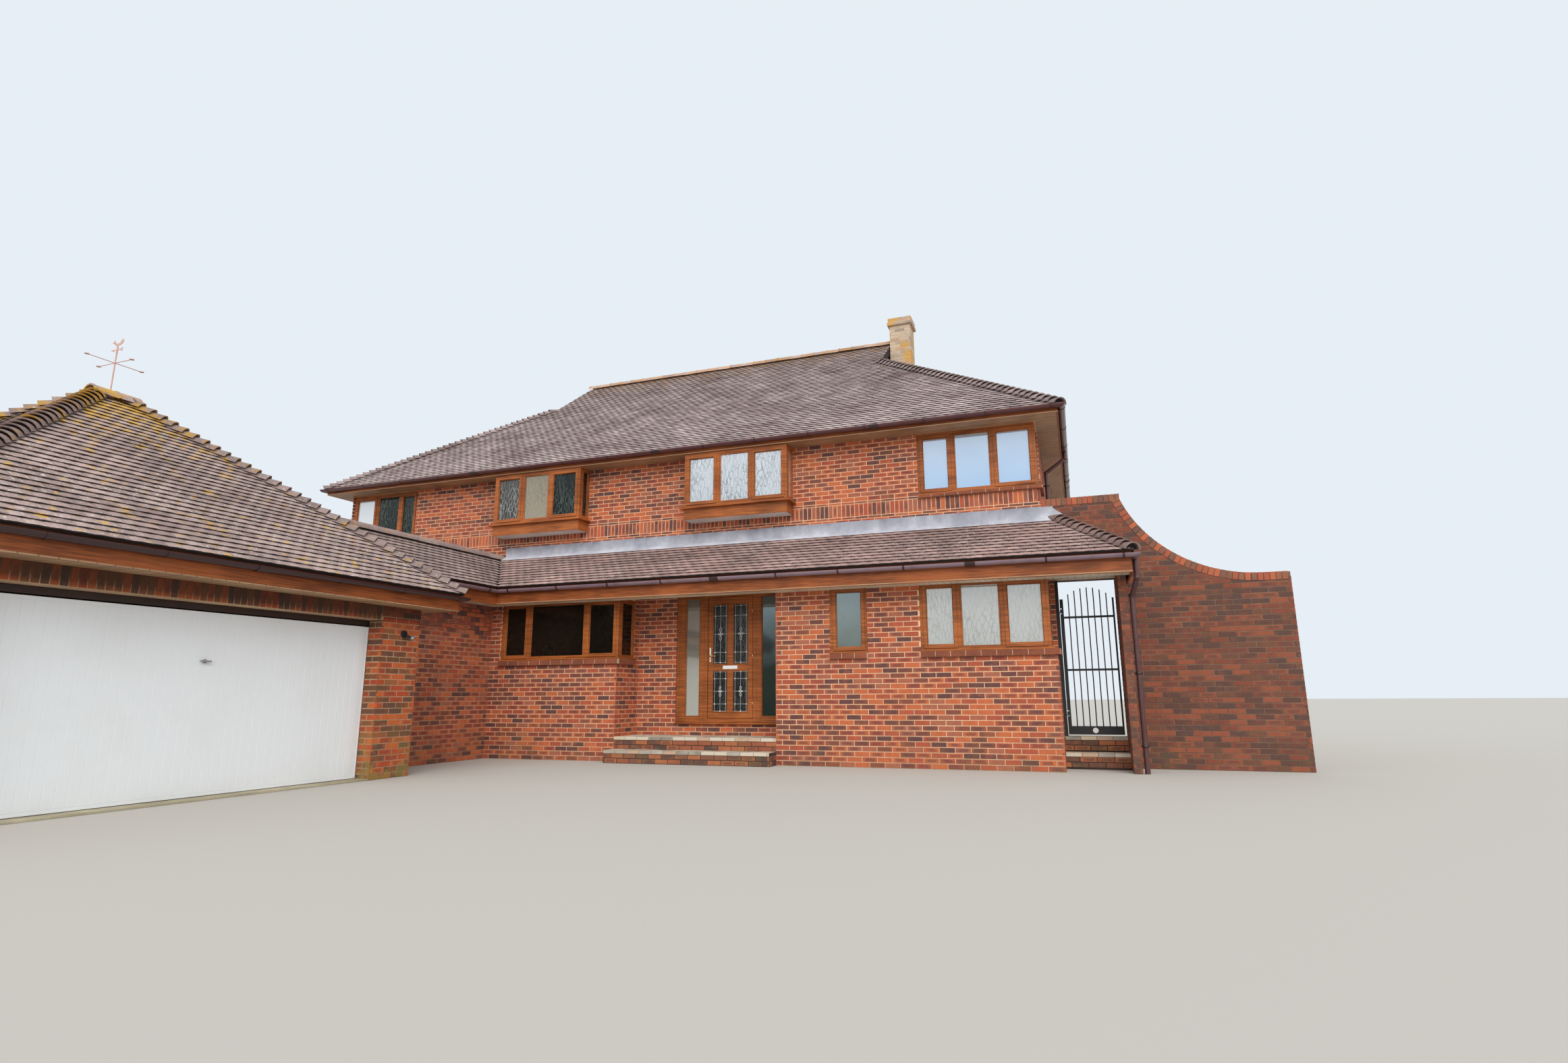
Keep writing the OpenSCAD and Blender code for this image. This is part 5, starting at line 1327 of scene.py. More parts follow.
    def garage(self) -> None:
        """Tile the garage roof."""
        edge, rise, gauge, run, link_x = self.garage_edge, self.garage_rise, 108.5, 2950, -3049
        left, right, front, back = -6804, -904, -8940, -2660
        wide, deep = right - left, back - front

        def link_gap(s: float, u: float) -> bool:
            """Tell whether a rear tile meets the link's walls or lies under its roof."""
            x = right - s
            if u < 420 and -3660 < x < -2440:
                return True
            return u < 1500 and abs(x - link_x) < 995 - (rise * u - 425) / self.link_rise - 60

        self.slopes("garage_tiles", "garage_tile", 51, (
            Slope((left, front), 0, rise, edge, run, lambda u: (u, wide - u), gauge=gauge),
            Slope((right, front), 90, rise, edge, run, lambda u: (u, deep - u), gauge=gauge),
            Slope((right, back), 180, rise, edge, run, lambda u: (u, wide - u), link_gap, gauge),
            Slope((left, back), -90, rise, edge, run, lambda u: (u, deep - u), gauge=gauge)))
        top, middle = edge + rise * run + 14, (left + right) / 2
        hips = [((x, y, edge + 14), (middle, ridge_end, top), 34)
                for x in (right, left) for y, ridge_end in ((front, -5990), (back, -5610))]
        self.hips("garage_bonnets", "garage_tile", 52, hips)
        self.ridges("garage_ridge_tiles", "garage_tile", 53, (
            ((middle, -6080, top + 22), (middle, -5520, top + 22), 2),))

    def build(self) -> None:
        """Tile every roof."""
        self.main()
        self.low()
        self.garage()


# Joinery


@dataclass
class Window:
    """A window frame seen from outside, with its mullions' middles and which lights open."""

    start: Span
    heading: float
    length: float
    low: float
    high: float
    mullions: Sequence[float]
    opens: Sequence[bool]
    edges: tuple[float, float] = (55.0, 55.0)


@dataclass
class Joinery:
    """Oak window frames with sashes, beads and sills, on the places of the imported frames."""

    tree: Tree
    palette: Palette
    edge: float = 55.0
    bar: float = 64.0
    depth: float = 70.0
    sash: float = 40.0
    sash_proud: float = 14.0
    sash_lap: float = 12.0
    bead: float = 24.0
    inset: float = 25.0

    def member(self, shape: Shape, window: Window, s: Span, z: Span, y: Span, upright: bool) -> None:
        """Add one straight member of a window.

        Args:
            shape: The piece under construction.
            window: The window that it belongs to.
            s: Its span along the window.
            z: Its heights.
            y: Its depths behind the outer face.
            upright: True for a post.
        """
        xs, ys = zip(*(spot(window.start, window.heading, a, b) for a in s for b in y))
        shape.box((min(xs), min(ys), z[0]), (max(xs), max(ys), z[1]), 1 if upright else 0, 3.0)

    def ring(self, shape: Shape, window: Window, s: Span, z: Span, y: Span, width: float) -> None:
        """Add four members round a rectangle."""
        for left, right in ((s[0], s[0] + width), (s[1] - width, s[1])):
            self.member(shape, window, (left, right), z, y, True)
        for low, high in ((z[0], z[0] + width), (z[1] - width, z[1])):
            self.member(shape, window, (s[0] + width, s[1] - width), (low, high), y, False)

    def frame(self, shape: Shape, window: Window) -> None:
        """Add a window's frame, mullions, sashes and beads."""
        (e0, e1), deep, sash, grow = window.edges, (0, self.depth), self.sash, self.sash_lap
        whole, low, high = (window.low, window.high), window.low + self.edge, window.high - self.edge
        self.member(shape, window, (0, e0), whole, deep, True)
        self.member(shape, window, (window.length - e1, window.length), whole, deep, True)
        for heights in ((window.low, low), (high, window.high)):
            self.member(shape, window, (e0, window.length - e1), heights, deep, False)
        posts = [(m - self.bar / 2, m + self.bar / 2) for m in window.mullions]
        for post in posts:
            self.member(shape, window, post, (low, high), deep, True)
        cuts = [e0, *(mark for post in posts for mark in post), window.length - e1]
        for left, right, opens in zip(cuts[::2], cuts[1::2], window.opens):
            if opens:
                self.ring(shape, window, (left - grow, right + grow), (low - grow, high + grow),
                          (-self.sash_proud, 8), sash + grow)
                self.ring(shape, window, (left + sash, right - sash), (low + sash, high - sash), (2, 24), 10)
            else:
                self.ring(shape, window, (left, right), (low, high), (8, 26), self.bead)

    def piece(self, name: str, node: str, windows: Sequence[Window]) -> None:
        """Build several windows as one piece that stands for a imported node."""
        shape = Shape(name, self.palette.oak)
        for window in windows:
            self.frame(shape, window)
        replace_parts(shape.end("root", "oak"), node)

    def lower(self) -> list[Window]:
        """Return the windows of the ground storey."""
        low, head, face, three = LOW_BOARD, LOW_HEAD, LOW_FRONT + self.inset, (True, False, True)
        side, back = SIDE - self.inset, BACK - self.inset
        return [
            Window((5210, face), 0, 1821, low, head, (557, 1185), three),
            Window((3826, face), 0, 587, low, head, (), (True,)),
            Window((-2249, face), 0, 2370, low, head, (572, 1727), three),
            Window((7031, -54), 90, 504, low, head, (), (False,)),
            Window((PORCH_LEFT, -54), 90, 464, low, head, (), (False,)),
            *(Window((x + w / 2, back), 180, w, LOW_SILL, head, (600, 1200), three) for x,
              w in BACK_WINDOWS[::3]),
            Window((1200, back), 180, 2400, 660, DOOR_HEAD, (1200,), (True, True)),
            Window((side, 5000), 90, 1200, LOW_SILL, head, (600,), (True, True)),
            Window((-side, 6200), -90, 1200, LOW_SILL, head, (600,), (True, True)),
        ]

    def upper(self) -> list[Window]:
        """Return the windows of the upper storey, with the oriels."""
        low, head, sill, oriel_low = HIGH_BOARD, SOFFIT, HIGH_SILL, 4267
        face, side, three = FRONT + self.inset, SIDE - self.inset, (True, False, True)
        windows = [
            Window((5106, face), 0, 1865, low, head, (565, 1200), three),
            Window((-6965, face), 0, 1712, low, head, (633, 1249), three),
            Window((6971, 813), 90, 504, low, head, (), (False,)),
            Window((-6971, 1317), -90, 504, low, head, (), (False,)),
        ]
        for x in ORIELS:
            left, right, slim = x - ORIEL_REACH, x + ORIEL_REACH, (40, 40)
            windows.append(Window((left, 400), 0, right - left, oriel_low, head, (640, 1258), three))
            windows.append(Window((right, 471), 90, 246, oriel_low, head, (), (False,), slim))
            windows.append(Window((left, FRONT), -90, 246, oriel_low, head, (), (False,), slim))
        for x, w in BACK_WINDOWS:
            marks = (600, 1200) if w > 1500 else (600,)
            windows.append(Window((x + w / 2, BACK - self.inset), 180, w, sill, head, marks,
                                  three[:len(marks) + 1]))
        for y in (4700, 7600):
            windows.append(Window((side, y - 600), 90, 1200, sill, head, (600,), (True, True)))
            windows.append(Window((-side, y + 600), -90, 1200, sill, head, (600,), (True, True)))
        return windows

    def build(self) -> None:
        """Build every window and what lies under it."""
        self.piece("lower_joinery", "lower_windows", self.lower())
        self.piece("upper_joinery", "upper_windows", self.upper())
        self.boards()
        self.sills()

    def boards(self) -> None:
        """Build the board under each window of the front, and round the corners."""
        shape = Shape("sill_boards", self.palette.oak)
        low, high = LOW_FRONT + self.inset, FRONT + self.inset
        for x0, x1, y0, y1, z in (
                (5210, 7075, low - 53, low, LOW_BOARD), (3826, 4413, low - 53, low, LOW_BOARD),
                (-2249, 165, low - 53, low, LOW_BOARD), (5106, 7015, high - 53, high, HIGH_BOARD),
                (-7010, -5253, high - 53, high, HIGH_BOARD), (7031, 7075, low + 1, 450, LOW_BOARD),
                (121, 165, low + 1, 410, LOW_BOARD), (6971, 7015, high + 1, 1317, HIGH_BOARD),
                (-7010, -6971, high + 1, 1317, HIGH_BOARD)):
            shape.box((x0, y0, z), (x1, y1, z + 26), 0, 5)
        shape.end("root", "oak")

    def sills(self) -> None:
        """Lay the tiles of the sills, each in one piece with a rounded nose."""
        places, low, high = Places(), (LOW_SILL, LOW_BOARD), (HIGH_SILL, HIGH_BOARD)
        for x, y, heading, length, (foot, top) in (
                (5210, LOW_FRONT, 0, 1936, low), (BAY_RIGHT, LOW_FRONT, 90, 600, low),
                (3826, LOW_FRONT, 0, 587, low), (-2249, LOW_FRONT, 0, 2415, low),
                (PORCH_LEFT, LOW_FRONT, 90, 560, low), (5106, FRONT, 0, 1928, high),
                (SIDE, FRONT, 90, 600, high), (-7034, FRONT, 0, 1781, high), (-SIDE, 1317, -90, 600, high)):
            count = round(length / 224)
            for i in range(count):
                px, py = spot((x, y), heading, (i + 0.5) * length / count, -13)
                size = ((length / count - 9) * MM, 0.072, (top - foot + 4) * MM)
                places.add((px * MM, py * MM, (foot + top) / 2 * MM), size, (0.0, 0.0, math.radians(heading)))
        places.keep("sill_tiles", self.tree, sill_unit(), self.palette["sill_tile"], 71, 0.003, "sill_tile")


# The front door


@dataclass
class FrontDoor:
    """Oak door leaf with four leaded panels, its screen and its furniture."""

    palette: Palette
    left: float = 1451.0
    width: float = 814.0
    low: float = 673.0
    high: float = 2689.0
    face: float = 591.0
    thick: float = 54.0
    stile: float = 80.0
    middle: float = 92.0
    bead: float = 16.0
    rails: tuple[Span, ...] = ((0.0, 90.0), (783.0, 876.0), (1904.0, 2016.0))
    drop: tuple[Span, ...] = ((0, 26), (17, 52), (22, 78), (13, 98), (0, 108), (-13, 98), (-22, 78),
                              (-17, 52))
    diamond: tuple[Span, ...] = ((0, 22), (14, 0), (0, -22), (-14, 0))

    def panels(self) -> list[tuple[float, float, float, float]]:
        """Return left, right, low and high of each panel."""
        width = (self.width - 2 * self.stile - self.middle) / 2
        found = []
        for i in range(2):
            x = self.left + self.stile + i * (width + self.middle)
            for j in range(2):
                found.append((x, x + width, self.low + self.rails[j][1], self.low + self.rails[j + 1][0]))
        return found

    def leaf(self) -> None:
        """Build the leaf from stiles, rails and beads."""
        shape = Shape("door_leaf", self.palette.oak)
        y0, y1 = self.face, self.face + self.thick
        right = self.left + self.width
        for a, b in ((self.left, self.left + self.stile), (right - self.stile, right)):
            shape.box((a, y0, self.low), (b, y1, self.high), 1, 3)
        for low, high in self.rails:
            shape.box((self.left + self.stile, y0, self.low + low), (right - self.stile, y1, self.low + high),
                      0, 3)
        post = self.left + (self.width - self.middle) / 2
        for (_, low), (high, _) in zip(self.rails, self.rails[1:]):
            shape.box((post, y0, self.low + low), (post + self.middle, y1, self.low + high), 1, 3)
        for x0, x1, z0, z1 in self.panels():
            shape.ring((x0, y0 - 5, z0), (x1, y0 + 12, z1), self.bead, 4)
        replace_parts(shape.end("front_door", "oak"), "front_door")

    def leading(self) -> None:
        """Build the lead cames and bevelled motifs of the four panels."""
        shape = Shape("door_leading", (self.palette["lead_came"], self.palette["bright_white"]))
        y = self.face + 14
        for x0, x1, z0, z1 in self.panels():
            width, tall = x1 - x0, z1 - z0
            posts = [x0 + width * k for k in (0.14, 0.5, 0.86)]
            bars = [z0 + tall * k for k in (0.035, 0.2, 0.5, 0.8, 0.965)]
            for x in posts:
                shape.box((x - 2.5, y - 3, z0 + self.bead), (x + 2.5, y + 2, z1 - self.bead))
            for z in bars:
                shape.box((x0 + self.bead, y - 3, z - 2.5), (x1 - self.bead, y + 2, z + 2.5))
            marks = [(x, z) for x in (posts[0], posts[2]) for z in (bars[1], bars[3])]
            for x, z in (*marks, (posts[1], bars[0]), (posts[1], bars[4])):
                shape.rod((x, y - 5, z), (x, y + 1, z), 9, 12, 1)
            centre, middle = posts[1], bars[2]
            scale = 1.0 if tall > 900 else 0.8
            for way in (1, -1):
                self.outline(shape, [(centre + a * scale, middle + way * b * scale) for a, b in self.drop], y)
            for dx in (-30, 0, 30):
                diamond = [(centre + (dx + a) * scale, middle + b * scale) for a, b in self.diamond]
                self.outline(shape, diamond, y)
        shape.end("front_door", "glass")

    @staticmethod
    def outline(shape: Shape, corners: Sequence[Span], y: float) -> None:
        """Draw a closed figure in lead on the glass."""
        for (xa, za), (xb, zb) in zip(corners, [*corners[1:], corners[0]]):
            shape.rod((xa, y - 2, za), (xb, y - 2, zb), 2.6, 6, 1)

    def furniture(self) -> None:
        """Build the letter plate, the lever's back plate, its lever and the hinges."""
        shape = Shape("door_furniture", (self.palette["bright_white"], self.palette["brass"]))
        centre, z = self.left + self.width / 2, self.low + 830
        shape.box((centre - 133, self.face - 9, z - 29), (centre + 133, self.face + 1, z + 29), 0, 6)
        shape.box((centre - 112, self.face - 13, z - 16), (centre + 112, self.face - 8, z + 16), 0, 2)
        shape.box((1477, self.face - 8, 1595), (1509, self.face + 1, 1840), 1, 4)
        shape.rod((1493, self.face - 10, 1640), (1493, self.face, 1640), 10, 16, 1)
        for z in (900, 1680, 2450):
            shape.rod((2262, self.face - 4, z - 45), (2262, self.face - 4, z + 45), 7, 12, 1)
        shape.end("front_door", "brass")
        lever = Shape("door_lever", (self.palette["brass"],))
        lever.rod((1493, self.face - 52, 1695), (1493, self.face + 96, 1695), 7, 16)
        lever.rod((1493, self.face - 18, 1695), (1493, self.face - 8, 1695), 15, 20)
        lever.rod((1493, self.face - 46, 1695), (1560, self.face - 46, 1697), 9, 12, 0, 8)
        lever.rod((1560, self.face - 46, 1697), (1606, self.face - 46, 1690), 8, 12, 0, 6)
        lever.rod((1493, self.face + 96, 1695), (1606, self.face + 96, 1692), 9, 12, 0, 6)
        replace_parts(lever.end("door_handle", "brass"), "door_handle")

    def screen(self) -> None:
        """Build the glazed screen round the door."""
        shape = Shape("door_screen", self.palette.oak)
        y0, y1, foot, head, top, glass = 585, 655, 601, 2689, DOOR_HEAD, 276
        for x0, x1, gx in ((861, 1443, 1023), (2273, 2855, 2417)):
            shape.box((x0, y0, foot), (gx, y1, top), 1, 3)
            shape.box((gx + glass, y0, foot), (x1, y1, top), 1, 3)
            shape.box((gx, y0, foot), (gx + glass, y1, 693), 0, 3)
            shape.box((gx, y0, head), (gx + glass, y1, top), 0, 3)
            shape.ring((gx, y0 + 6, 693), (gx + glass, y0 + 26, head), 18, 4)
            for x in (x0 + 58, x1 - 58):
                shape.box((x - 2, y0 - 4, foot), (x + 2, y0 + 2, top), 1, 1)
        shape.box((1444, y0, foot), (2272, y1, 667), 0, 3)
        shape.box((1444, y0, 2695), (2272, y1, top), 0, 3)
        shape.box((861, 505, 573), (2855, 655, 600), 0, 6)
        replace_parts(shape.end("root", "oak"), "door_frame")

    def build(self) -> None:
        """Build the door and what stands round it."""
        self.leaf()
        self.leading()
        self.furniture()
        self.screen()


# Rainwater goods


def clip_unit() -> bpy.types.Object:
    """Return one gutter clip, a strap round a half-round gutter that runs along X through the origin."""
    verts: list[Point] = []
    steps = 8
    for x in (-0.013, 0.013):
        for radius in (0.0545, 0.0605):
            for i in range(steps + 1):
                t = math.pi * i / steps
                verts.append((x, -radius * math.cos(t), -radius * math.sin(t)))
    n = steps + 1
    faces: list[tuple[int, ...]] = []
    for i in range(steps):
        faces.append((n + i, n + i + 1, 3 * n + i + 1, 3 * n + i))
        faces.append((i, n + i, n + i + 1, i + 1)[::-1])
        faces.append((2 * n + i, 3 * n + i, 3 * n + i + 1, 2 * n + i + 1))
    return unit_mesh("clip_unit", verts, faces)


@dataclass
class Rainwater:
    """Clips along the gutters, unions between their lengths and clips round the pipes."""

    spacing: Tree
    laying: Tree
    palette: Palette
    reach: float = 405.0
    corner: float = 150.0
    main_z: float = 5350.0
    low_z: float = 2860.0
    garage_z: float = 2440.0

    def runs(self) -> list[tuple[Point, Point]]:
        """Return the middle line of each straight gutter, in millimetres."""
        r, corner, main, low, garage = self.reach, self.corner, self.main_z, self.low_z, self.garage_z
        x, y0, y1 = SIDE + r, FRONT - r, BACK + r
        gx0, gx1, gy0, gy1 = GARAGE_LEFT - r, GARAGE_RIGHT + r, GARAGE_FRONT - r, GARAGE_BACK + r
        return [
            ((-x + corner, y0, main), (x - corner, y0, main)),
            ((x, y0 + corner, main), (x, y1 - corner, main)),
            ((x - corner, y1, main), (-x + corner, y1, main)),
            ((-x, y1 - corner, main), (-x, y0 + corner, main)),
            ((LINK_RIGHT + r + 250, LOW_FRONT - r, low), (8180 - corner, LOW_FRONT - r, low)),
            ((LINK_RIGHT + r, -2700, low), (LINK_RIGHT + r, LOW_FRONT - r - 250, low)),
            ((LINK_LEFT - r, 600, low), (LINK_LEFT - r, -2700, low)),
            ((gx0 + corner, gy0, garage), (gx1 - corner, gy0, garage)),
            ((gx1, gy0 + corner, garage), (gx1, gy1 - corner, garage)),
            ((gx0, gy1 - corner, garage), (gx0, gy0 + corner, garage)),
        ]

    def build(self) -> None:
        """Build the clips, the unions and the pipe brackets."""
        lines = bpy.data.meshes.new("gutter_lines")
        verts, edges = [], []
        for a, b in self.runs():
            edges.append((len(verts), len(verts) + 1))
            verts += [Vector(a) * MM, Vector(b) * MM]
        lines.from_pydata(verts, edges, [])
        unit = clip_unit()
        mesh = run_tree("gutter_clips", lines, self.spacing,
                        {"Unit": unit, "Spacing": 0.95, "Finish": self.palette["gutter_dark"]})
        keep_piece("gutter_clips", mesh, "root")
        self.unions(unit)
        self.brackets()

    def unions(self, unit: bpy.types.Object) -> None:
        """Join the lengths of the gutters with wider sleeves."""
        places, r, main, garage = Places(), self.reach, self.main_z, self.garage_z
        for x, y, z, heading in (
                *((x, LOW_FRONT - r, self.low_z, 0) for x in (2077, 6023)),
                *((x, FRONT - r, main, 0) for x in (-3500, 500, 4500)),
                *((x, BACK + r, main, 0) for x in (-2000, 2000)),
                (SIDE + r, 5100, main, 90), (-SIDE - r, 5100, main, 90),
                (GARAGE_RIGHT + r, -5800, garage, 90),
                (GARAGE_LEFT - r, -5800, garage, 90), (-3850, GARAGE_FRONT - r, garage, 0)):
            places.add((x * MM, y * MM, z * MM), (5.5, 1.05, 1.05), (0.0, 0.0, math.radians(heading)))
        places.keep("gutter_unions", self.laying, unit, self.palette["gutter_dark"], 81, slot="gutter")

    def brackets(self) -> None:
        """Clip the pipes to the walls."""
        shape = Shape("pipe_brackets", (self.palette["gutter_dark"],))
        for x, y, heights in ((8113, -100, (350, 1300, 2350)), (7053, 2850, (500, 1900, 3300, 4700)),
                              (-7053, 2850, (500, 1900, 3300, 4700))):
            for z in heights:
                shape.rod((x, y, z - 18), (x, y, z + 18), 40, 20)
                shape.box((x - 52, y - 9, z - 12), (x + 52, y + 9, z + 12), 0, 3)
        shape.end("root", "gutter")


# Smaller pieces


@dataclass
class GarageDoor:
    """Pressed vertical boards and the raised rim of the white leaf."""

    palette: Palette
    face: float = -1511.0
    low: float = 25.0
    high: float = 1960.0
    left: float = -7995.0
    right: float = -3728.0
    board: float = 101.3
    groove: float = 1.5
    rim: float = 30.0

    def build(self) -> None:
        """Build the boards and the rim."""
        shape = Shape("garage_boards", (self.palette["door_white"],))
        x, rim, low, high = self.face - 1, self.rim, self.low, self.high
        y = self.left + 24
        while y + self.board <= self.right - 20:
            shape.box((x, y + self.groove, low + rim + 4),
                      (x + 3.5, y + self.board - self.groove, high - rim - 4), 0, 1.5)
            y += self.board
        for y0, y1, z0, z1 in (
                (self.left + 2, self.right - 2, low, low + rim),
                (self.left + 2, self.right - 2, high - rim, high),
                (self.left + 2, self.left + 22, low + rim, high - rim),
                (self.right - 20, self.right - 2, low + rim, high - rim)):
            shape.box((x, y0, z0), (x + 4, y1, z1), 0, 1.5)
        shape.end("garage_door", "door_white")


@dataclass
class Details:
    """Coping, paving, lead laps, soffit edges, gablet boards, a lamp and the gate's disc."""

    tree: Tree
    palette: Palette

    def coping(self) -> None:
        """Lay bricks on edge along the top of the screen wall and down its ramp."""
        places, (cx, cz), radius, steps, module = Places(), RAMP_CENTRE, RAMP_RADIUS, 40, 75
        path = [(SIDE, SCREEN_TOP), (RAMP_START, SCREEN_TOP)]
        start = math.atan2(SCREEN_TOP - cz, RAMP_START - cx) + 2 * math.pi
        for i in range(1, steps + 1):
            t = start + (1.5 * math.pi - start) * i / steps
            path.append((cx + radius * math.cos(t), cz + radius * math.sin(t)))
        path.append((SCREEN_END, SCREEN_LOW_TOP))
        carry, drop = module / 2, 51
        for (x0, z0), (x1, z1) in zip(path, path[1:]):
            length = math.hypot(x1 - x0, z1 - z0)
            slope = math.atan2(z1 - z0, x1 - x0)
            while carry < length:
                x, z = x0 + (x1 - x0) * carry / length, z0 + (z1 - z0) * carry / length
                places.add(((x + math.sin(slope) * drop) * MM, 0.8245, (z - math.cos(slope) * drop) * MM),
                           (0.065, 0.231, 0.11), (0.0, -slope, 0.0))
                carry += module
            carry -= length
        places.keep("screen_coping", self.tree, block_unit(), self.palette["coping_brick"], 61, 0.006)

    def paving(self) -> None:
        """Pave the steps with blocks whose front row forms the nosing."""
        places, long, joint = Places(), 215, 6
        for x0, x1, y0, y1, top in (
                (PORCH_LEFT, PORCH_RIGHT, -162, PORCH_BACK, PORCH_FLOOR),
                (PORCH_LEFT, PORCH_RIGHT, -462, -151, 195),
                (BAY_RIGHT, GATE_RIGHT, 705, SCREEN_BACK, 428), (BAY_RIGHT, GATE_RIGHT, 405, 716, 214)):
            rows = round((y1 - y0) / 105)
            deep = (y1 - y0) / rows
            for row in range(rows):
                q = x0 - (long / 2 if row % 2 else 0.0)
                while q < x1 - 30:
                    left, right = max(q, x0), min(q + long, x1)
                    q += long
                    if right - left > 30:
                        places.add(((left + right) / 2 * MM, (y0 + (row + 0.5) * deep) * MM, (top - 20) * MM),
                                   ((right - left - joint) * MM, (deep - joint) * MM, 0.048), (0.0, 0.0, 0.0))
        places.keep("step_paving", self.tree, block_unit(), self.palette["paving"], 62, 0.004, "step_brick")

    def lead_laps(self) -> None:
        """Lap the lead of the lean-to's top in lengths of a metre and a half."""
        shape = Shape("lead_laps", (self.palette["lead_sheet"],))
        outline = [(563, 3604), (563, 3612), (711, 3702), (711, 3866), (716, 3866), (716, 3698), (567, 3604)]
        for x in range(-1850, 7000, 1500):
            shape.prism(outline, (x - 14, x + 14))
        shape.end("root", "lead")

    def trims(self) -> None:
        """Add the pale edges of the soffits and the boards under the oriels."""
        shape = Shape("soffit_edges", (self.palette["soffit_board"], self.palette["white_board"]))
        for x0, x1, y0, y1, z0, z1 in (
                (-7341, 7341, 363, 369, 5243, 5258), (-7343, -7337, 367, 9842, 5243, 5258),
                (7337, 7343, 367, 9842, 5243, 5258), (-2109, 8127, -504, -498, 2623, 2638),
                (8123, 8129, -500, 716, 2623, 2638), (-951, -945, -8895, -2705, 2238, 2253)):
            shape.box((x0, y0, z0), (x1, y1, z1))
        for x in ORIELS:
            shape.box((x - 945, 412, 4050), (x + 945, 716, 4055), 1)
        shape.end("root", "soffit")

    def gablets(self) -> None:
        """Board the two small gables under the ridge's ends."""
        shape = Shape("gablet_boards", (self.palette["board_up"],))
        peak, foot, rise, width, gap, count = 8690.0, 7900.0, 0.74, 150.0, 2.5, 14
        for board in range(count):
            side, across = (-1, 1)[board % 2], board // 2
            near, far = across * width + gap, (across + 1) * width - gap
            (y0, z0), (y1, z1) = ((RIDGE_Y + side * out, peak - rise * out) for out in (near, far))
            for xs in ((3798.0, 3812.0), (-3812.0, -3798.0)):
                shape.prism([(y0, foot), (y1, foot), (y1, z1), (y0, z0)], xs)
        shape.end("root", "soffit")

    def lamp(self) -> None:
        """Build the small lamp with its sensor on the garage pier, and the disc on the gate."""
        shape = Shape("garage_lamp", (self.palette["iron"], self.palette["steel"]))
        shape.rod((-1297, -3342, 1887), (-1268, -3342, 1887), 46, 20)
        shape.rod((-1268, -3342, 1887), (-1215, -3275, 1838), 14, 12)
        shape.rod((-1222, -3283, 1845), (-1190, -3258, 1822), 30, 16, 1, 36)
        shape.end("root", "door_white")
        disc = Shape("gate_disc", (self.palette["bright_white"],))
        disc.rod((7525, 737, 516), (7525, 746, 516), 38, 20)
        disc.end("side_gate", "door_white")

    def build(self) -> None:
        """Build the details."""
        self.coping()
        self.paving()
        self.lead_laps()
        self.trims()
        self.gablets()
        self.lamp()


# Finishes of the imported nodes

NODE_FINISH = {
    "mortar": ("front_right_wall", "front_left_walls", "front_return_walls", "porch_wall", "upper_front_wall",
               "right_wall", "left_wall", "back_wall"),
    "garage_mortar": ("garage_walls", "link_walls"),
    "screen_mortar": ("screen_wall", "gate_pier"),
    "stack_mortar": ("chimney_stack", "chimney_cap"),
    "step_mortar": ("porch_steps", "gate_steps"),
    "concrete": ("ground_floor", "first_floor", "garage_floor"),
    "roof_bed": ("main_roof", "leanto_roof", "link_roof", "garage_roof"),
    "lead_sheet": ("lead_flashing",),
    "board_along": ("fascias",),
    "soffit_board": ("main_soffits",),
    "cream_board": ("low_soffits",),
    "gutter_plastic": ("gutters",),
    "pipe_brown": ("downpipes",),
    "sill_joint": ("window_sills",),
    "oak_along": ("oriel_aprons", "lower_windows", "upper_windows", "door_frame"),
    "oak_up": ("front_door",),
    "lower_pane": ("lower_glass",),
    "upper_pane": ("upper_glass",),
    "door_pane": ("door_glass",),
    "brass": ("door_handle",),
    "iron": ("gate_post", "side_gate"),
    "brown_frame": ("garage_frame",),
    "door_white": ("garage_door",),
    "steel": ("door_arms", "garage_handle"),
    "vane_red": ("vane_rod", "weathervane"),
}


def dress_nodes(nodes: dict[str, bpy.types.Object], palette: Palette) -> None:
    """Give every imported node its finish.

    Args:
        nodes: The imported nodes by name.
        palette: The finishes.
    """
    for finish, names in NODE_FINISH.items():
        for name in names:
            mesh = nodes[name].data
            if not mesh.materials:
                mesh.materials.append(palette[finish])
            for index in range(len(mesh.materials)):
                mesh.materials[index] = palette[finish]


# The studio


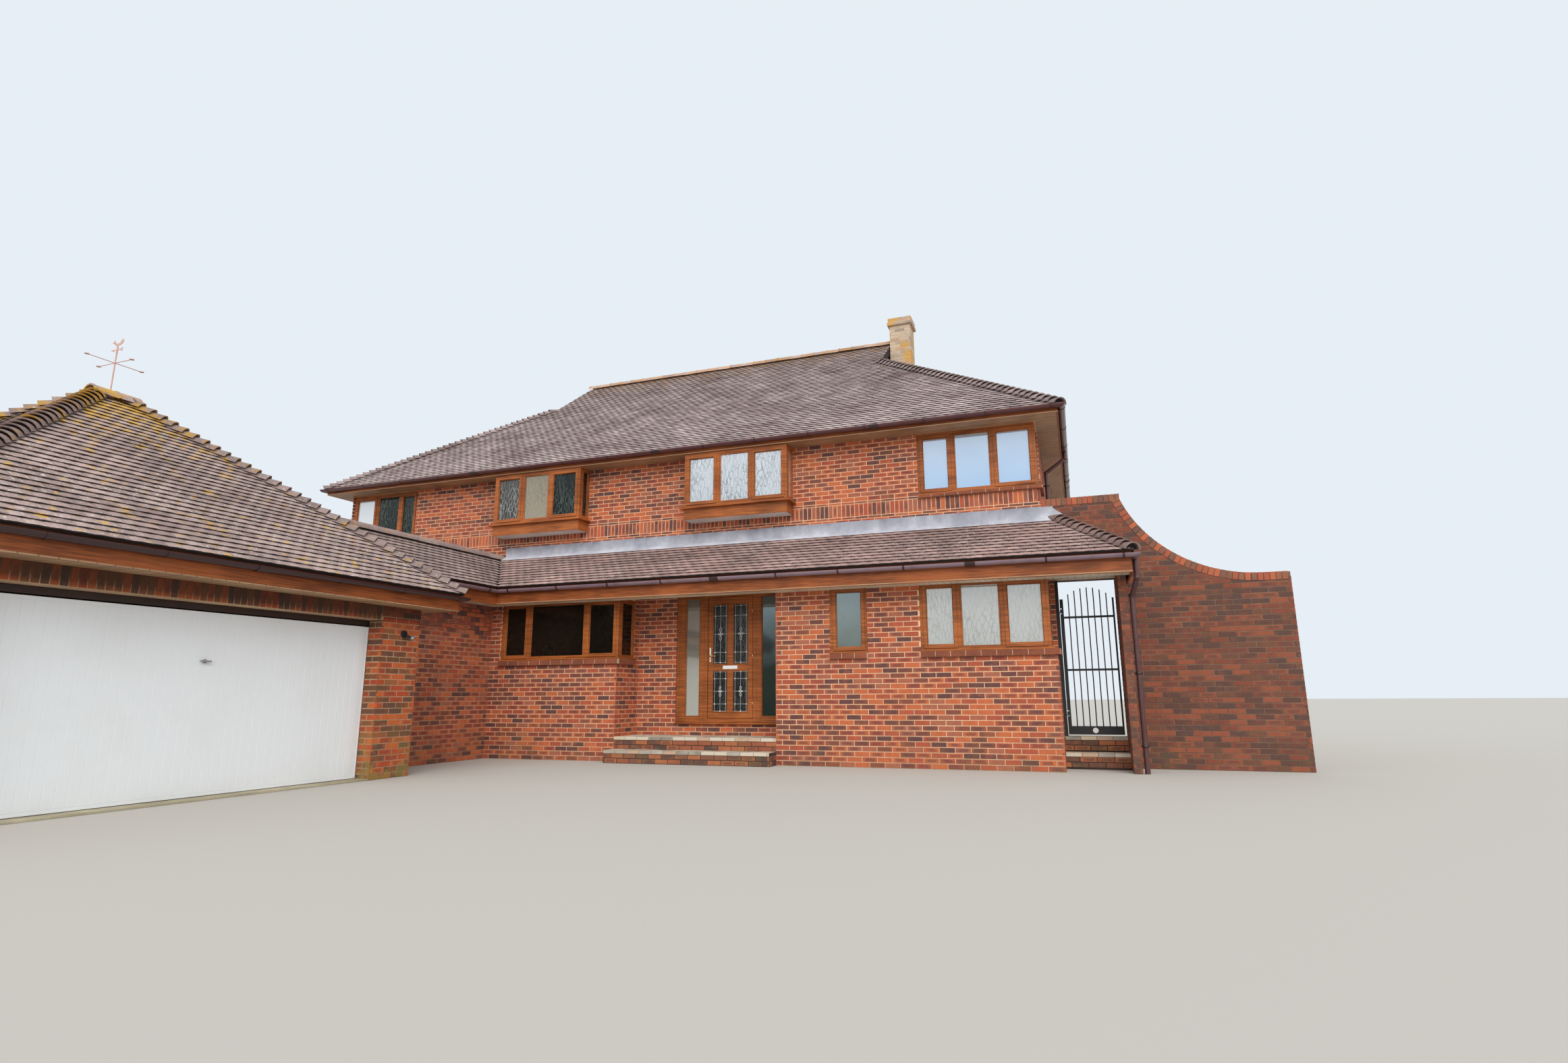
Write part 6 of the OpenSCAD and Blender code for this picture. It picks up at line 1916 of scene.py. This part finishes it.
@dataclass
class Studio:
    """A pale floor, soft light and the camera at the photographed angle."""

    eye: Point = (7.3676, -12.0942, 1.0325)
    angles: Point = (101.4256, 0.3315, 19.7453)
    lens: float = 18.654
    sensor: float = 36.0
    floor: Colour = (0.50, 0.48, 0.44, 1.0)
    backdrop: Colour = (0.80, 0.86, 0.92, 1.0)
    sky: Colour = (0.92, 0.96, 1.0, 1.0)
    sky_strength: float = 0.85
    sun_strength: float = 2.3
    reach: float = 150.0

    def camera(self) -> None:
        """Place the camera."""
        data = bpy.data.cameras.new("camera")
        data.sensor_width = self.sensor
        data.lens = self.lens
        data.clip_end = 500.0
        camera = bpy.data.objects.new("camera", data)
        camera.location = self.eye
        camera.rotation_euler = Euler([math.radians(a) for a in self.angles])
        bpy.context.scene.collection.objects.link(camera)
        bpy.context.scene.camera = camera

    def ground(self) -> None:
        """Lay the floor."""
        mesh = bpy.data.meshes.new("floor")
        r = self.reach
        mesh.from_pydata([(-r, -r, 0), (r, -r, 0), (r, r, 0), (-r, r, 0)], [], [(0, 1, 2, 3)])
        mesh.materials.append(Graph("floor").done(self.floor, 0.9))
        floor = bpy.data.objects.new("floor", mesh)
        floor.location = (0, 0, -0.002)
        bpy.context.scene.collection.objects.link(floor)

    def light(self) -> None:
        """Light the scene with a soft sky and a broad sun."""
        world = bpy.data.worlds.new("sky")
        bpy.context.scene.world = world
        world.use_nodes = True
        net = Network(world.node_tree)
        net.tree.nodes.clear()
        seen = net.node("ShaderNodeBackground", {"Color": self.backdrop, "Strength": 1.0})
        lit = net.node("ShaderNodeBackground", {"Color": self.sky, "Strength": self.sky_strength})
        path = net.node("ShaderNodeLightPath", {}, "Is Camera Ray")
        sky = net.node("ShaderNodeMixShader", {0: path, 1: lit, 2: seen})
        net.feed(net.tree.nodes.new("ShaderNodeOutputWorld"), {"Surface": sky})
        sun_data = bpy.data.lights.new("sun", "SUN")
        sun_data.energy = self.sun_strength
        sun_data.angle = math.radians(50)
        sun_data.color = (1.0, 0.97, 0.92)
        sun = bpy.data.objects.new("sun", sun_data)
        sun.rotation_euler = Vector((-0.42, 0.9, -0.75)).to_track_quat("-Z", "Y").to_euler()
        bpy.context.scene.collection.objects.link(sun)

    def build(self) -> None:
        """Set up the studio."""
        bpy.context.scene.view_settings.view_transform = "Standard"
        self.camera()
        self.ground()
        self.light()


def main() -> None:
    """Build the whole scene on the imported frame."""
    logging.basicConfig(level=logging.INFO, format="%(name)s: %(message)s")
    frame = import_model()
    Studio().build()
    palette = Palette()
    dress_nodes(frame["nodes"], palette)
    laying = laying_tree()
    Brickwork(laying, palette).build()
    Roofing(laying, palette).build()
    Joinery(laying, palette).build()
    FrontDoor(palette).build()
    Rainwater(spacing_tree(), laying, palette).build()
    GarageDoor(palette).build()
    Details(laying, palette).build()
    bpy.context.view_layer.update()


if __name__ == "__main__":
    main()
